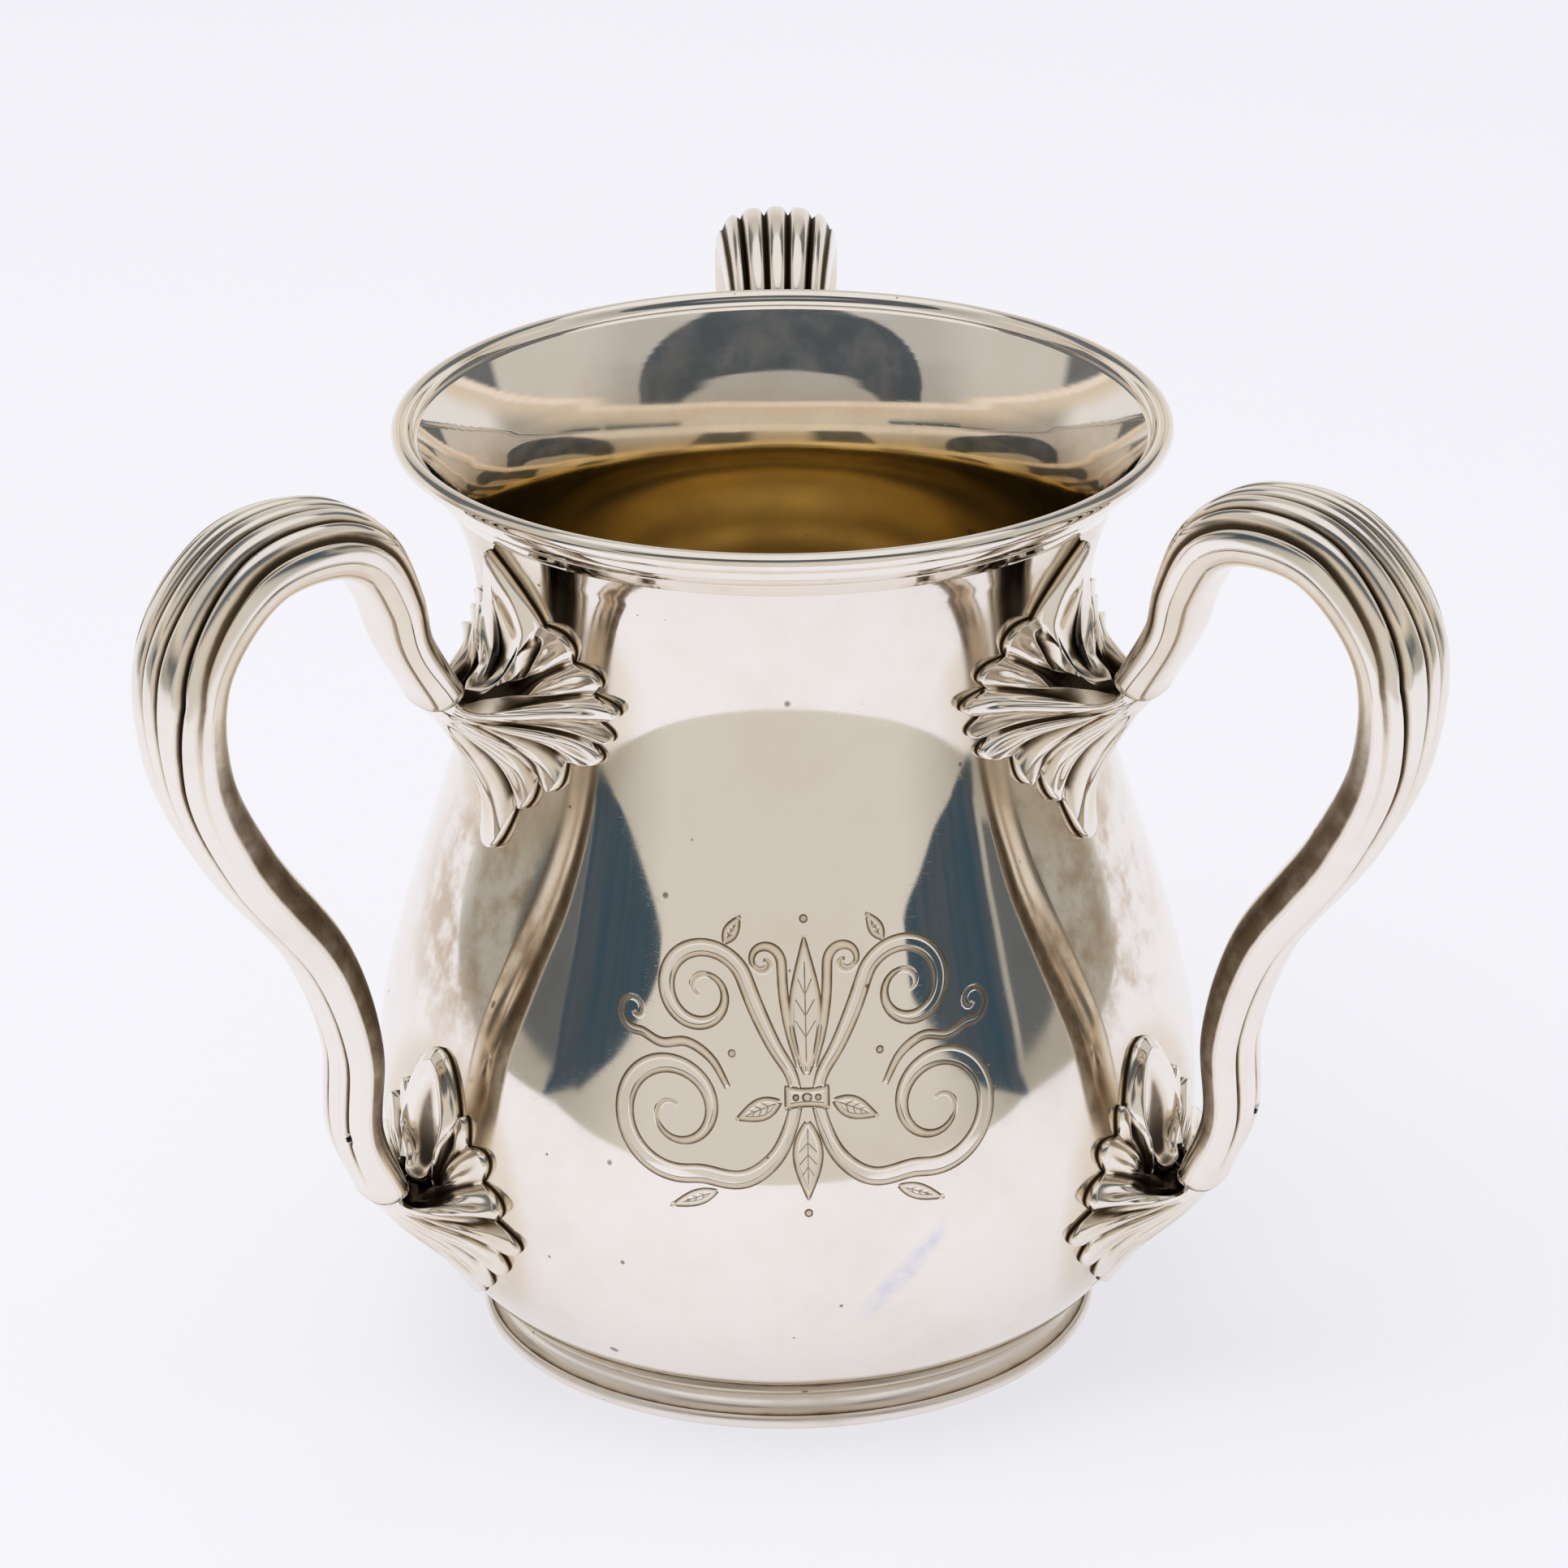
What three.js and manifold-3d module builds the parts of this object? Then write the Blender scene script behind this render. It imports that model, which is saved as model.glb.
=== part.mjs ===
import * as THREE from "three";
import { mergeVertices } from "three/addons/utils/BufferGeometryUtils.js";
import Module from "manifold-3d";

// Three-handled silver loving cup. Millimetres, +Z up, the cup's axis is Z, the table is z = 0.
// The back handle points to +Y; the other two stand about 120 degrees either side of it.

// Driving sizes of the body
const cupHeight = 168.2; // top of the rim bead above the table
const lipRadius = 67.5; // outside of the rim bead
const neckRadius = 53.2; // narrowest outside radius
const neckHeight = 137;
const bellyRadius = 73.3; // widest outside radius
const bellyHeight = 44;
const footJoinRadius = 53.5; // outside radius of the body's lower edge
const footHeight = 6.3; // the body's lower edge stands on the foot ring here
const wall = 1; // sheet thickness of body and base

// Driving sizes of rim and foot
const beadRadius = 1.62; // half the thickness of the rim bead
const mouldingDrop = 9.5; // top of the bead to the lower edge of the rim moulding
const mouldingThickness = 1; // of the plain part of the moulding below the bead
const seatBelowTop = 2.2; // top of the bead down to the body's lip
const flangeReach = 1.5; // outermost edge of the foot past the body's lower edge
const flangeHeight = 2.4;
const flangeRound = 1; // rounding of the flange's lower edge
const coveDepth = 1.5; // how far the foot's hollow goes in behind the body's edge
const footWall = 0.8; // thinnest part of the foot ring, behind the hollow
const baseRecess = 1.2; // underside of the base plate above the table

// Driving sizes of the handles
const handleAngles = [90, 212, 329.5]; // back, left and right, in degrees from +X
const handleReach = 65.5; // neck to the handle's outermost centre line
const upperJointDrop = 6; // upper joint below the narrowest part of the neck
const lowerJointDrop = 3; // lower joint below the widest part of the belly
const handleWidth = 22.5; // across the reeds, at the widest place
const handleDepth = 12.5; // reeded crown to plain back, at the same place
const shellThickness = 1; // sheet thickness of the hollow handle
const crownShare = 0.6; // part of the handle's depth that lies in the reeded half
const reedHeight = 0.09; // rise of a reed, as a share of the handle's depth
const ventRadius = 0.5; // small air hole low on each handle

// Driving sizes of the leaves
const upperLeafDrop = 29; // upper joint down to the leaf's lowest tip
const lowerLeafRise = 25; // lower joint up to the leaf's highest tip
const leafEdge = 1.3; // thickness of a leaf where it lies on the body
const leafRise = 3.6; // height of a leaf's shoulder above the body
const cutDepth = 3; // how deep a leaf runs into the body before it is cut to fit

// Clearances
const solderGap = 0.3; // between parts that are soldered together

// Fineness of the surfaces
const turnedSteps = 48; // around the axis
const beadSteps = 5; // around the rim bead
const bodyRows = [8, 9, 5]; // foot to belly, belly to neck, neck to lip
const handleSteps = 24; // along a handle
const reedSteps = 3; // across one reed
const leafSteps = 4; // from a leaf's edge to the handle

// Outside of the rim moulding from its lower edge to the groove under the bead:
// [share of its height, share of its thickness]
const mouldingLine = [
  [0, 0.6],
  [0.59, 0.9],
  [0.87, 1.3],
  [1, 0.9],
];
const beadTurn = [-60, 135]; // the bead's rounding starts and ends here, in degrees from level

// Outside of the foot's hollow from the flange up to the body: [share of its height, share of its
// depth that is filled]
const coveLine = [
  [0.13, 0.47],
  [0.5, 0],
  [0.8, 0.33],
  [1, 0.87],
];

// Centre line of a handle: [reach share, height share, width share, depth share]. The reach is
// measured from a straight line between the two joints, the height from lower to upper joint.
const handleLine = [
  [0.258, 1.022, 0.66, 0.64],
  [0.348, 1.146, 0.66, 0.66],
  [0.381, 1.235, 0.71, 0.74],
  [0.461, 1.338, 0.82, 0.88],
  [0.593, 1.385, 0.92, 0.98],
  [0.808, 1.362, 1, 1],
  [0.988, 1.201, 1, 0.98],
  [0.977, 0.983, 0.89, 0.92],
  [0.782, 0.778, 0.8, 0.88],
  [0.481, 0.541, 0.71, 0.78],
  [0.329, 0.337, 0.62, 0.67],
  [0.279, 0.164, 0.6, 0.61],
  [0.167, 0.024, 0.6, 0.58],
];

// Grooves between the reeds, as shares of the half width from the middle outwards
const reedEdges = [-0.93, -0.63, -0.21, 0.21, 0.63, 0.93];
const crownPower = 2.4; // roundness of the reeded side: 2 is an ellipse, more is squarer
const hollowCorner = [0.7, 0.75]; // corner of the hollow inside the reeded half: width, height
const backCorner = [0.97, 0.5]; // corner of the plain half outside: width, height
const backFlat = 0.78; // width share of the flat of the plain half
const ventPlace = 0.93; // share of the handle's length from the upper joint to the air hole
const ventRise = 0.12; // air hole above the centre line, as a share of the handle's depth

// Lobe tips of a leaf from its top to its bottom, [sideways, up] from the joint, as shares of the
// leaf's driving size. The edge dips in between two tips.
const upperLeaf = {
  size: upperLeafDrop,
  tips: [[0, 0.86], [0.33, 0.52], [0.43, 0.4], [0.57, 0.29], [0.72, 0.17], [0.84, 0.07],
    [0.83, -0.14], [0.76, -0.29], [0.5, -0.55], [0.34, -0.67], [0, -1]],
  backward: 0.2, // how far the handle's line is followed back into the leaf
};
const lowerLeaf = {
  size: lowerLeafRise,
  tips: [[0, 1], [0.26, 0.86], [0.48, 0.68], [0.7, 0.58], [0.8, 0.34], [0.9, 0.16],
    [0.94, -0.2], [0.68, -0.48], [0.38, -0.7], [0, -0.92]],
  backward: 0.16,
};
const leafDip = 0.88; // the edge between two lobes, as a share of their distance from the middle
const lobeWidth = 0.3; // half the blunt end of a lobe, as a share of the way to its neighbour
const lobeRound = 0.985; // how far out the corners of that blunt end lie
const leafShoulder = 0.42; // how soon a leaf narrows towards the handle
const endPower = 0.8; // squareness of the leaf where it meets the handle: 1 is an ellipse

const silver = { color: 0xd3cbbf, roughness: 0.16, metalness: 1 };
const paleSilver = { color: 0xdcd4c9, roughness: 0.14, metalness: 1 };
const handleSilver = { color: 0xb7b0a4, roughness: 0.18, metalness: 1 };
const leafSilver = { color: 0xa8a092, roughness: 0.22, metalness: 1 };

const wasm = await Module();
wasm.setup();

function solidOf(geometry) {
  const bare = geometry.clone();
  bare.deleteAttribute("normal");
  bare.deleteAttribute("uv");
  const merged = mergeVertices(bare, 1e-4);
  return new wasm.Manifold(
    new wasm.Mesh({
      numProp: 3,
      vertProperties: new Float32Array(merged.attributes.position.array),
      triVerts: new Uint32Array(merged.index.array),
    }),
  );
}

function geometryOf(solid) {
  const made = solid.getMesh();
  const geometry = new THREE.BufferGeometry();
  const count = made.numVert;
  const points = new Float32Array(count * 3);
  for (let i = 0; i < count; i++) {
    points.set(made.vertProperties.subarray(i * made.numProp, i * made.numProp + 3), i * 3);
  }
  geometry.setAttribute("position", new THREE.BufferAttribute(points, 3));
  geometry.setIndex(new THREE.BufferAttribute(new Uint32Array(made.triVerts), 1));
  return geometry;
}

function pieceOf(name, geometry, look) {
  const shaded = geometry.index ? geometry.toNonIndexed() : geometry;
  shaded.computeVertexNormals();
  const mesh = new THREE.Mesh(shaded, new THREE.MeshStandardMaterial(look));
  mesh.name = name;
  return mesh;
}

// A ring turned about Z from a closed outline of [radius, height] points
function turned(outline) {
  const closed = [...outline, outline[0]].map(([r, z]) => new THREE.Vector2(r, z));
  const geometry = new THREE.LatheGeometry(closed, turnedSteps);
  geometry.rotateX(Math.PI / 2);
  const solid = solidOf(geometry);
  return geometryOf(solid);
}

// Outside radius of the body at a height: a parabola under the belly, a slow S up to the neck
// and a parabola out to the lip
function bodyRadius(z) {
  if (z < bellyHeight) {
    const down = (bellyHeight - z) / (bellyHeight - footHeight);
    return bellyRadius - (bellyRadius - footJoinRadius) * down * down;
  }
  if (z < neckHeight) {
    const t = (z - bellyHeight) / (neckHeight - bellyHeight);
    return bellyRadius + (neckRadius - bellyRadius) * t * t * (3 - 2 * t);
  }
  const up = (z - neckHeight) / (lipHeight - neckHeight);
  return neckRadius + (bodyLipRadius - neckRadius) * up * up;
}

const lipHeight = cupHeight - seatBelowTop;
const beadCentreRadius = lipRadius - beadRadius;
const bodyLipRadius = lipRadius - beadRadius * 1.85;
const upperJointHeight = neckHeight - upperJointDrop;
const lowerJointHeight = bellyHeight - lowerJointDrop;

// Heights of the rows that make up the body, closer together where it curves more
function bodyHeights() {
  const stops = [footHeight, bellyHeight, neckHeight, lipHeight];
  const heights = [footHeight];
  bodyRows.forEach((rows, part) => {
    for (let i = 1; i <= rows; i++) {
      heights.push(THREE.MathUtils.lerp(stops[part], stops[part + 1], i / rows));
    }
  });
  return heights;
}

// Points up the body's outside, moved along the surface normal
function bodyLine(heights, offset) {
  return heights.map((z) => {
    const step = 0.01;
    const slope = (bodyRadius(z + step) - bodyRadius(z - step)) / (2 * step);
    const long = Math.hypot(1, slope);
    return [bodyRadius(z) + offset / long, z - (offset * slope) / long];
  });
}

// The part of a line between two heights, its ends brought to exactly those heights
function between(line, low, high) {
  const near = wall / 2;
  const inside = line.filter(([, z]) => z > low + near && z < high - near);
  return [[radiusOn(line, low), low], ...inside, [radiusOn(line, high), high]];
}

// Radius of a line of points at a height
function radiusOn(line, z) {
  for (let i = 1; i < line.length; i++) {
    const [r0, z0] = line[i - 1];
    const [r1, z1] = line[i];
    if (z <= z1) return r0 + ((r1 - r0) * (z - z0)) / (z1 - z0);
  }
  return line.at(-1)[0];
}

// The body is one spun shell, open at the lip and at the bottom
function bodyShell() {
  const outside = bodyLine(bodyHeights(), 0);
  const past = wall * 2;
  const longer = [footHeight - past, ...bodyHeights(), lipHeight + past];
  const inside = between(bodyLine(longer, -wall), footHeight, lipHeight);
  return turned([...outside, ...inside.reverse()]);
}

// The drawn moulding lies round the outside of the lip and its bead covers the lip's edge
function rimMoulding() {
  const low = cupHeight - mouldingDrop;
  const beadHeight = cupHeight - beadRadius;
  const grooveHeight = beadHeight - beadRadius;
  const seatRows = [low - wall, ...bodyHeights()];
  const seat = between(bodyLine(seatRows.sort((a, b) => a - b), solderGap), low, lipHeight);
  const lipInside = bodyLipRadius - wall;
  const outside = mouldingLine.map(([up, thick]) => {
    const z = THREE.MathUtils.lerp(low, grooveHeight, up);
    return [bodyRadius(z) + mouldingThickness * thick, z];
  });
  const bead = [];
  for (let i = 0; i <= beadSteps; i++) {
    const turn = THREE.MathUtils.lerp(beadTurn[0], beadTurn[1], i / beadSteps);
    const angle = THREE.MathUtils.degToRad(turn);
    const reach = beadRadius * Math.cos(angle);
    bead.push([beadCentreRadius + reach, beadHeight + beadRadius * Math.sin(angle)]);
  }
  return turned([...outside, ...bead, [lipInside, lipHeight], ...seat.reverse()]);
}

// The foot ring has a flat rest edge, a rounded flange, a hollow above it and a flat seat
const coveRadius = footJoinRadius - coveDepth;
const boreRadius = coveRadius - footWall;
const flangeRadius = footJoinRadius + flangeReach;

function footRing() {
  const cove = coveLine.map(([up, filled]) => [
    coveRadius + coveDepth * filled,
    THREE.MathUtils.lerp(flangeHeight, footHeight, up),
  ]);
  return turned([
    [boreRadius, 0],
    [flangeRadius - flangeRound, 0],
    [flangeRadius - flangeRound * 0.2, flangeHeight * 0.25],
    [flangeRadius, flangeHeight * 0.55],
    [flangeRadius - flangeRound * 0.5, flangeHeight],
    ...cove,
    [boreRadius, footHeight],
  ]);
}

// The base plate is a flat disc let into the foot and soldered in all round its edge
function basePlate() {
  const edge = boreRadius - solderGap;
  const top = baseRecess + wall;
  return turned([[0, baseRecess], [edge, baseRecess], [edge, top], [0, top]]);
}

// Handles are made in the X-Z plane, growing away from the body along +X.
// Place, width and depth of the handle at every step, and the two directions of its section
function handleStations() {
  const place = ([reach, up]) => {
    const share = THREE.MathUtils.clamp(up, 0, 1);
    const low = bodyRadius(lowerJointHeight);
    const start = THREE.MathUtils.lerp(low, bodyRadius(upperJointHeight), share);
    const height = THREE.MathUtils.lerp(lowerJointHeight, upperJointHeight, up);
    return new THREE.Vector3(start + handleReach * reach, 0, height);
  };
  const line = new THREE.CatmullRomCurve3(handleLine.map(place), false, "centripetal");
  const size = (share) => {
    const at = share * (handleLine.length - 1);
    const i = Math.min(Math.floor(at), handleLine.length - 2);
    const mix = THREE.MathUtils.smoothstep(at - i, 0, 1);
    const blend = (k) => THREE.MathUtils.lerp(handleLine[i][k], handleLine[i + 1][k], mix);
    return [handleWidth * blend(2), handleDepth * blend(3)];
  };
  const stations = [];
  for (let i = 0; i <= handleSteps; i++) {
    const share = line.getUtoTmapping(i / handleSteps);
    const along = line.getTangent(share);
    const [width, depth] = size(share);
    stations.push({
      centre: line.getPoint(share),
      along,
      outward: new THREE.Vector3(-along.z, 0, along.x),
      width,
      depth,
    });
  }
  return stations;
}

// Point of a section: sideways runs along Y, up is towards the reeded side
function onSection(station, sideways, up) {
  return station.centre
    .clone()
    .addScaledVector(station.outward, up)
    .add(new THREE.Vector3(0, sideways, 0));
}

// Height of the plain rounded crown over the seam, at a share of the half width
function crown(share, height) {
  return height * Math.pow(Math.max(0, 1 - Math.pow(Math.abs(share), crownPower)), 1 / crownPower);
}

// Outline of the reeded half's section, a channel open towards the seam
function reededSection({ width, depth }) {
  const half = width / 2;
  const seam = depth * (0.5 - crownShare) + solderGap / 2;
  const height = depth / 2 - seam - reedHeight * depth;
  const points = [[half, seam]];
  for (let reed = reedEdges.length - 1; reed > 0; reed--) {
    for (let k = 0; k <= reedSteps; k++) {
      if (k === reedSteps && reed > 1) break;
      const share = THREE.MathUtils.lerp(reedEdges[reed], reedEdges[reed - 1], k / reedSteps);
      const rise = reedHeight * depth * Math.sin((Math.PI * k) / reedSteps);
      points.push([share * half, seam + crown(share, height) + rise]);
    }
  }
  points.push([-half, seam]);
  const hollow = half - shellThickness;
  const roof = seam + height - shellThickness;
  const cornerWidth = hollow * hollowCorner[0];
  const cornerHeight = THREE.MathUtils.lerp(seam, roof, hollowCorner[1]);
  points.push([-hollow, seam], [-cornerWidth, cornerHeight], [0, roof]);
  points.push([cornerWidth, cornerHeight], [hollow, seam]);
  return points;
}

// Outline of the plain half's section, a shallower channel open the other way
function plainSection({ width, depth }) {
  const half = width / 2;
  const seam = depth * (0.5 - crownShare) - solderGap / 2;
  const back = -depth / 2;
  const corner = THREE.MathUtils.lerp(seam, back, backCorner[1]);
  const floor = back + shellThickness;
  const hollow = half - shellThickness;
  return [
    [-half, seam],
    [-half * backCorner[0], corner],
    [-half * backFlat, back],
    [half * backFlat, back],
    [half * backCorner[0], corner],
    [half, seam],
    [hollow, seam],
    [hollow * backFlat, floor],
    [-hollow * backFlat, floor],
    [-hollow, seam],
  ];
}

// Skin over a row of closed rings; the first and last ring are closed off by flat lids
function skinned(rings, firstLid, lastLid) {
  const count = rings[0].length;
  const points = rings.flat();
  const faces = [];
  for (let i = 0; i + 1 < rings.length; i++) {
    for (let k = 0; k < count; k++) {
      const next = (k + 1) % count;
      const a = i * count + k;
      const b = i * count + next;
      faces.push([a, b, b + count], [a, b + count, a + count]);
    }
  }
  const start = (rings.length - 1) * count;
  firstLid(points, 0, count).forEach(([a, b, c]) => faces.push([a, c, b]));
  lastLid(points, start, count).forEach((face) => faces.push(face));
  const geometry = new THREE.BufferGeometry();
  const array = new Float32Array(points.flatMap((p) => [p.x, p.y, p.z]));
  geometry.setAttribute("position", new THREE.BufferAttribute(array, 3));
  geometry.setIndex(faces.flat());
  return geometry;
}

// A lid over a flat ring whose section outline is known, wound the same way as the ring
function flatLid(outline) {
  const flat = outline.map(([x, y]) => new THREE.Vector2(x, y));
  const way = THREE.ShapeUtils.area(flat);
  const sameWay = (face) => THREE.ShapeUtils.area(face.map((i) => flat[i])) * way > 0;
  const faces = THREE.ShapeUtils.triangulateShape(flat, []);
  const wound = faces.map((face) => (sameWay(face) ? face : face.slice().reverse()));
  return (points, start) => wound.map((face) => face.map((i) => start + i));
}

// A lid that runs from a ring to one point
function fanLid(tip) {
  return (points, start, count) => {
    const middle = points.push(tip) - 1;
    return Array.from({ length: count }, (_, k) => [start + k, start + ((k + 1) % count), middle]);
  };
}

function faceOutwards(geometry) {
  const solid = solidOf(geometry);
  if (solid.volume() >= 0) return solid;
  const index = geometry.index.array;
  const turnedIndex = [];
  for (let i = 0; i < index.length; i += 3) {
    turnedIndex.push(index[i], index[i + 2], index[i + 1]);
  }
  const other = geometry.clone();
  other.setIndex(turnedIndex);
  return solidOf(other);
}

// One half of a hollow handle, swept along the centre line
function handleHalf(stations, section) {
  const outlines = stations.map(section);
  const rings = stations.map((s, i) => outlines[i].map(([side, up]) => onSection(s, side, up)));
  return faceOutwards(skinned(rings, flatLid(outlines[0]), flatLid(outlines.at(-1))));
}

// The air hole goes through the reeded half's side, low down
function ventHole(stations) {
  const station = stations[Math.round(handleSteps * ventPlace)];
  const drill = new THREE.CylinderGeometry(ventRadius, ventRadius, shellThickness * 5, 10);
  const place = onSection(station, station.width / 2 - shellThickness, station.depth * ventRise);
  drill.translate(place.x, place.y, place.z);
  return solidOf(drill);
}

// Edge of a leaf, all the way round: blunt lobe tips with a dip between neighbours
function leafOutline({ size, tips }) {
  const towards = (from, to, share, out) => [
    THREE.MathUtils.lerp(from[0], to[0], share) * out * size,
    THREE.MathUtils.lerp(from[1], to[1], share) * out * size,
  ];
  const half = [];
  tips.forEach((tip, i) => {
    const next = tips[i + 1];
    half.push(towards(tip, tip, 0, 1));
    if (!next) return;
    half.push(towards(tip, next, lobeWidth, lobeRound));
    half.push(towards(tip, next, 0.5, leafDip));
    half.push(towards(next, tip, lobeWidth, lobeRound));
  });
  const other = half.slice(1, -1).reverse().map(([side, up]) => [-side, up]);
  return [...half, ...other];
}

function onBody(side, height, off) {
  const radius = bodyRadius(height);
  const angle = side / radius;
  const reach = radius + off;
  return new THREE.Vector3(reach * Math.cos(angle), reach * Math.sin(angle), height);
}

// A leaf flares from the end of the handle to a lobed edge on the body and is cut to its curve
function leafSolid(leaf, height, end, away, cutter) {
  const edge = leafOutline(leaf);
  const angles = edge.map(([side, up]) => Math.atan2(side, up));
  const upwards = end.outward.clone().multiplyScalar(away.dot(end.along) > 0 ? 1 : -1);
  const onEnd = (angle, back) => {
    const squarer = (value) => Math.pow(Math.abs(value), endPower) * Math.sign(value);
    return end.centre
      .clone()
      .addScaledVector(away, -solderGap - back)
      .addScaledVector(upwards, (squarer(Math.cos(angle)) * end.depth) / 2)
      .add(new THREE.Vector3(0, (squarer(Math.sin(angle)) * end.width) / 2, 0));
  };
  const outermost = edge.map(([side, up]) => onBody(side, height + up, leafEdge));
  const shoulder = edge.map(([side, up]) =>
    onBody(side * leafShoulder, height + up * leafShoulder, leafRise),
  );
  const rings = [edge.map(([side, up]) => onBody(side, height + up, -cutDepth))];
  for (let i = 0; i <= leafSteps; i++) {
    const t = i / leafSteps;
    rings.push(
      edge.map((_, k) => {
        const curve = new THREE.CubicBezierCurve3(
          outermost[k],
          shoulder[k],
          onEnd(angles[k], leaf.backward * leaf.size),
          onEnd(angles[k], 0),
        );
        return curve.getPoint(t);
      }),
    );
  }
  const lidOutline = angles.map((angle) => [Math.sin(angle), Math.cos(angle)]);
  const core = fanLid(onBody(0, height, -cutDepth * 4));
  const whole = faceOutwards(skinned(rings, core, flatLid(lidOutline)));
  const cut = whole.subtract(cutter);
  return cut.decompose().reduce((a, b) => (b.volume() > a.volume() ? b : a));
}

// A solid of the body's outside, larger by the solder gap, that the leaves are cut with
function bodyCutter() {
  const outside = bodyLine(bodyHeights(), solderGap);
  return solidOf(turned([[0, outside[0][1]], ...outside, [0, outside.at(-1)[1]]]));
}

function handlePieces() {
  const stations = handleStations();
  const cutter = bodyCutter();
  const first = stations[0];
  const last = stations.at(-1);
  const up = first.along;
  const down = last.along.clone().negate();
  return {
    reeded_face: [handleHalf(stations, reededSection).subtract(ventHole(stations)), handleSilver],
    plain_back: [handleHalf(stations, plainSection), handleSilver],
    upper_leaf: [leafSolid(upperLeaf, upperJointHeight, first, up, cutter), leafSilver],
    lower_leaf: [leafSolid(lowerLeaf, lowerJointHeight, last, down, cutter), leafSilver],
  };
}

const group = new THREE.Group();
group.name = "loving_cup";
group.add(pieceOf("body_shell", bodyShell(), silver));
group.add(pieceOf("rim_moulding", rimMoulding(), paleSilver));
group.add(pieceOf("foot_ring", footRing(), paleSilver));
group.add(pieceOf("base_plate", basePlate(), silver));

const handleNames = ["back", "left", "right"];
const pieces = handlePieces();
handleNames.forEach((handle, i) => {
  for (const [part, [solid, look]] of Object.entries(pieces)) {
    const piece = pieceOf(`${handle}_handle_${part}`, geometryOf(solid), look);
    piece.rotation.z = THREE.MathUtils.degToRad(handleAngles[i]);
    group.add(piece);
  }
});

export default group;
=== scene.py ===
"""Three-handled silver loving cup: the looks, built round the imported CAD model."""

import math

import bmesh
import bpy
import numpy as np
from bpy.props import FloatProperty, FloatVectorProperty, IntProperty, PointerProperty
from mathutils import Matrix, Vector


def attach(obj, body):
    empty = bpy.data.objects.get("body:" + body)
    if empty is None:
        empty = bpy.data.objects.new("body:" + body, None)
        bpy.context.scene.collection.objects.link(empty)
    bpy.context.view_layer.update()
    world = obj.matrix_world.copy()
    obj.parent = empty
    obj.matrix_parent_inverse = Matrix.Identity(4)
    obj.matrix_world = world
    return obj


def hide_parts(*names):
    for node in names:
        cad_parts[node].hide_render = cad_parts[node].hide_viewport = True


bl_info = {
    "name": "Loving Cup",
    "version": (1, 0, 0),
    "blender": (4, 5, 0),
    "location": "3D View > Sidebar > Loving Cup",
    "description": "Builds a three-handled silver loving cup with gilt inside and engraved scrolls",
    "category": "Add Mesh",
}

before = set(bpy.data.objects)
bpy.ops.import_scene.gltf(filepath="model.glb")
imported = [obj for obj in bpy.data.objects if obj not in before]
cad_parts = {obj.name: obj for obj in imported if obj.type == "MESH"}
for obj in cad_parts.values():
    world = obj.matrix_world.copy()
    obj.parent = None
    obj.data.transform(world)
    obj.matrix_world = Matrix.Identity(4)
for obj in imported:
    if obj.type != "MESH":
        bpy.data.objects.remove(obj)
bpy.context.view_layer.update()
MILLIMETRE = 0.001
MIRROR = np.array([-1, 1])  # swaps left and right in a flat drawing
HANDLE_STEPS = 210  # rings along a handle
STEPS_PER_REED = 18
GROOVE_REACH = 0.0006  # how far a groove's flanks reach
END_POWER = 2.5  # superellipse of the handle's plain ends
SINK = 0.0002  # how deep soldered edges go into the piece that they join

# Centre line of a handle: reach share, height share, width share, depth share. The reach is
# measured from a straight line between the two joints, the height from lower to upper joint.
HANDLE_LINE = (
    (0.258, 1.022, 0.66, 0.64),
    (0.348, 1.146, 0.66, 0.66),
    (0.381, 1.235, 0.71, 0.74),
    (0.461, 1.338, 0.82, 0.88),
    (0.593, 1.385, 0.92, 0.98),
    (0.808, 1.362, 1.0, 1.0),
    (0.988, 1.201, 1.0, 0.98),
    (0.977, 0.983, 0.89, 0.92),
    (0.782, 0.778, 0.8, 0.88),
    (0.481, 0.541, 0.71, 0.78),
    (0.329, 0.337, 0.62, 0.67),
    (0.279, 0.164, 0.6, 0.61),
    (0.167, 0.024, 0.6, 0.58),
)
# How the handle's section changes from the upper end (0) to the lower end (1). The grooves lie at
# shares of the half width; the depth of a groove is a share of the reed height, and the crown and
# the back are superellipses that meet at the seam. The last column is how brown the back is, as
# tarnish and as painted shade where the back faces the body.
SECTION_KEYS = ("inner", "middle", "outer", "inner_cut", "middle_cut", "outer_cut", "crown_power",
                "crown_share", "back_power", "brown_tarnish_and_shade")
SECTION_LINE = (
    (0.00, 0.20, 0.60, 0.88, 0.8, 0.9, 0.5, 2.5, 0.60, 2.8, 0.4),
    (0.08, 0.20, 0.60, 0.88, 0.9, 1.0, 0.8, 2.5, 0.60, 2.9, 0.45),
    (0.30, 0.20, 0.61, 0.90, 1.0, 1.0, 0.9, 2.4, 0.60, 2.9, 0.4),
    (0.42, 0.21, 0.76, 0.97, 1.0, 1.0, 0.7, 2.2, 0.58, 2.8, 0.5),
    (0.50, 0.16, 0.63, 0.95, 0.7, 1.0, 0.3, 2.4, 0.50, 2.6, 0.9),
    (0.60, 0.13, 0.57, 0.93, 0.2, 0.9, 0.0, 2.7, 0.42, 2.4, 1.0),
    (0.80, 0.12, 0.52, 0.92, 0.1, 0.85, 0.0, 2.8, 0.38, 2.3, 1.0),
    (1.00, 0.11, 0.46, 0.92, 0.1, 0.85, 0.0, 2.8, 0.40, 2.3, 0.8),
)

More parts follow.
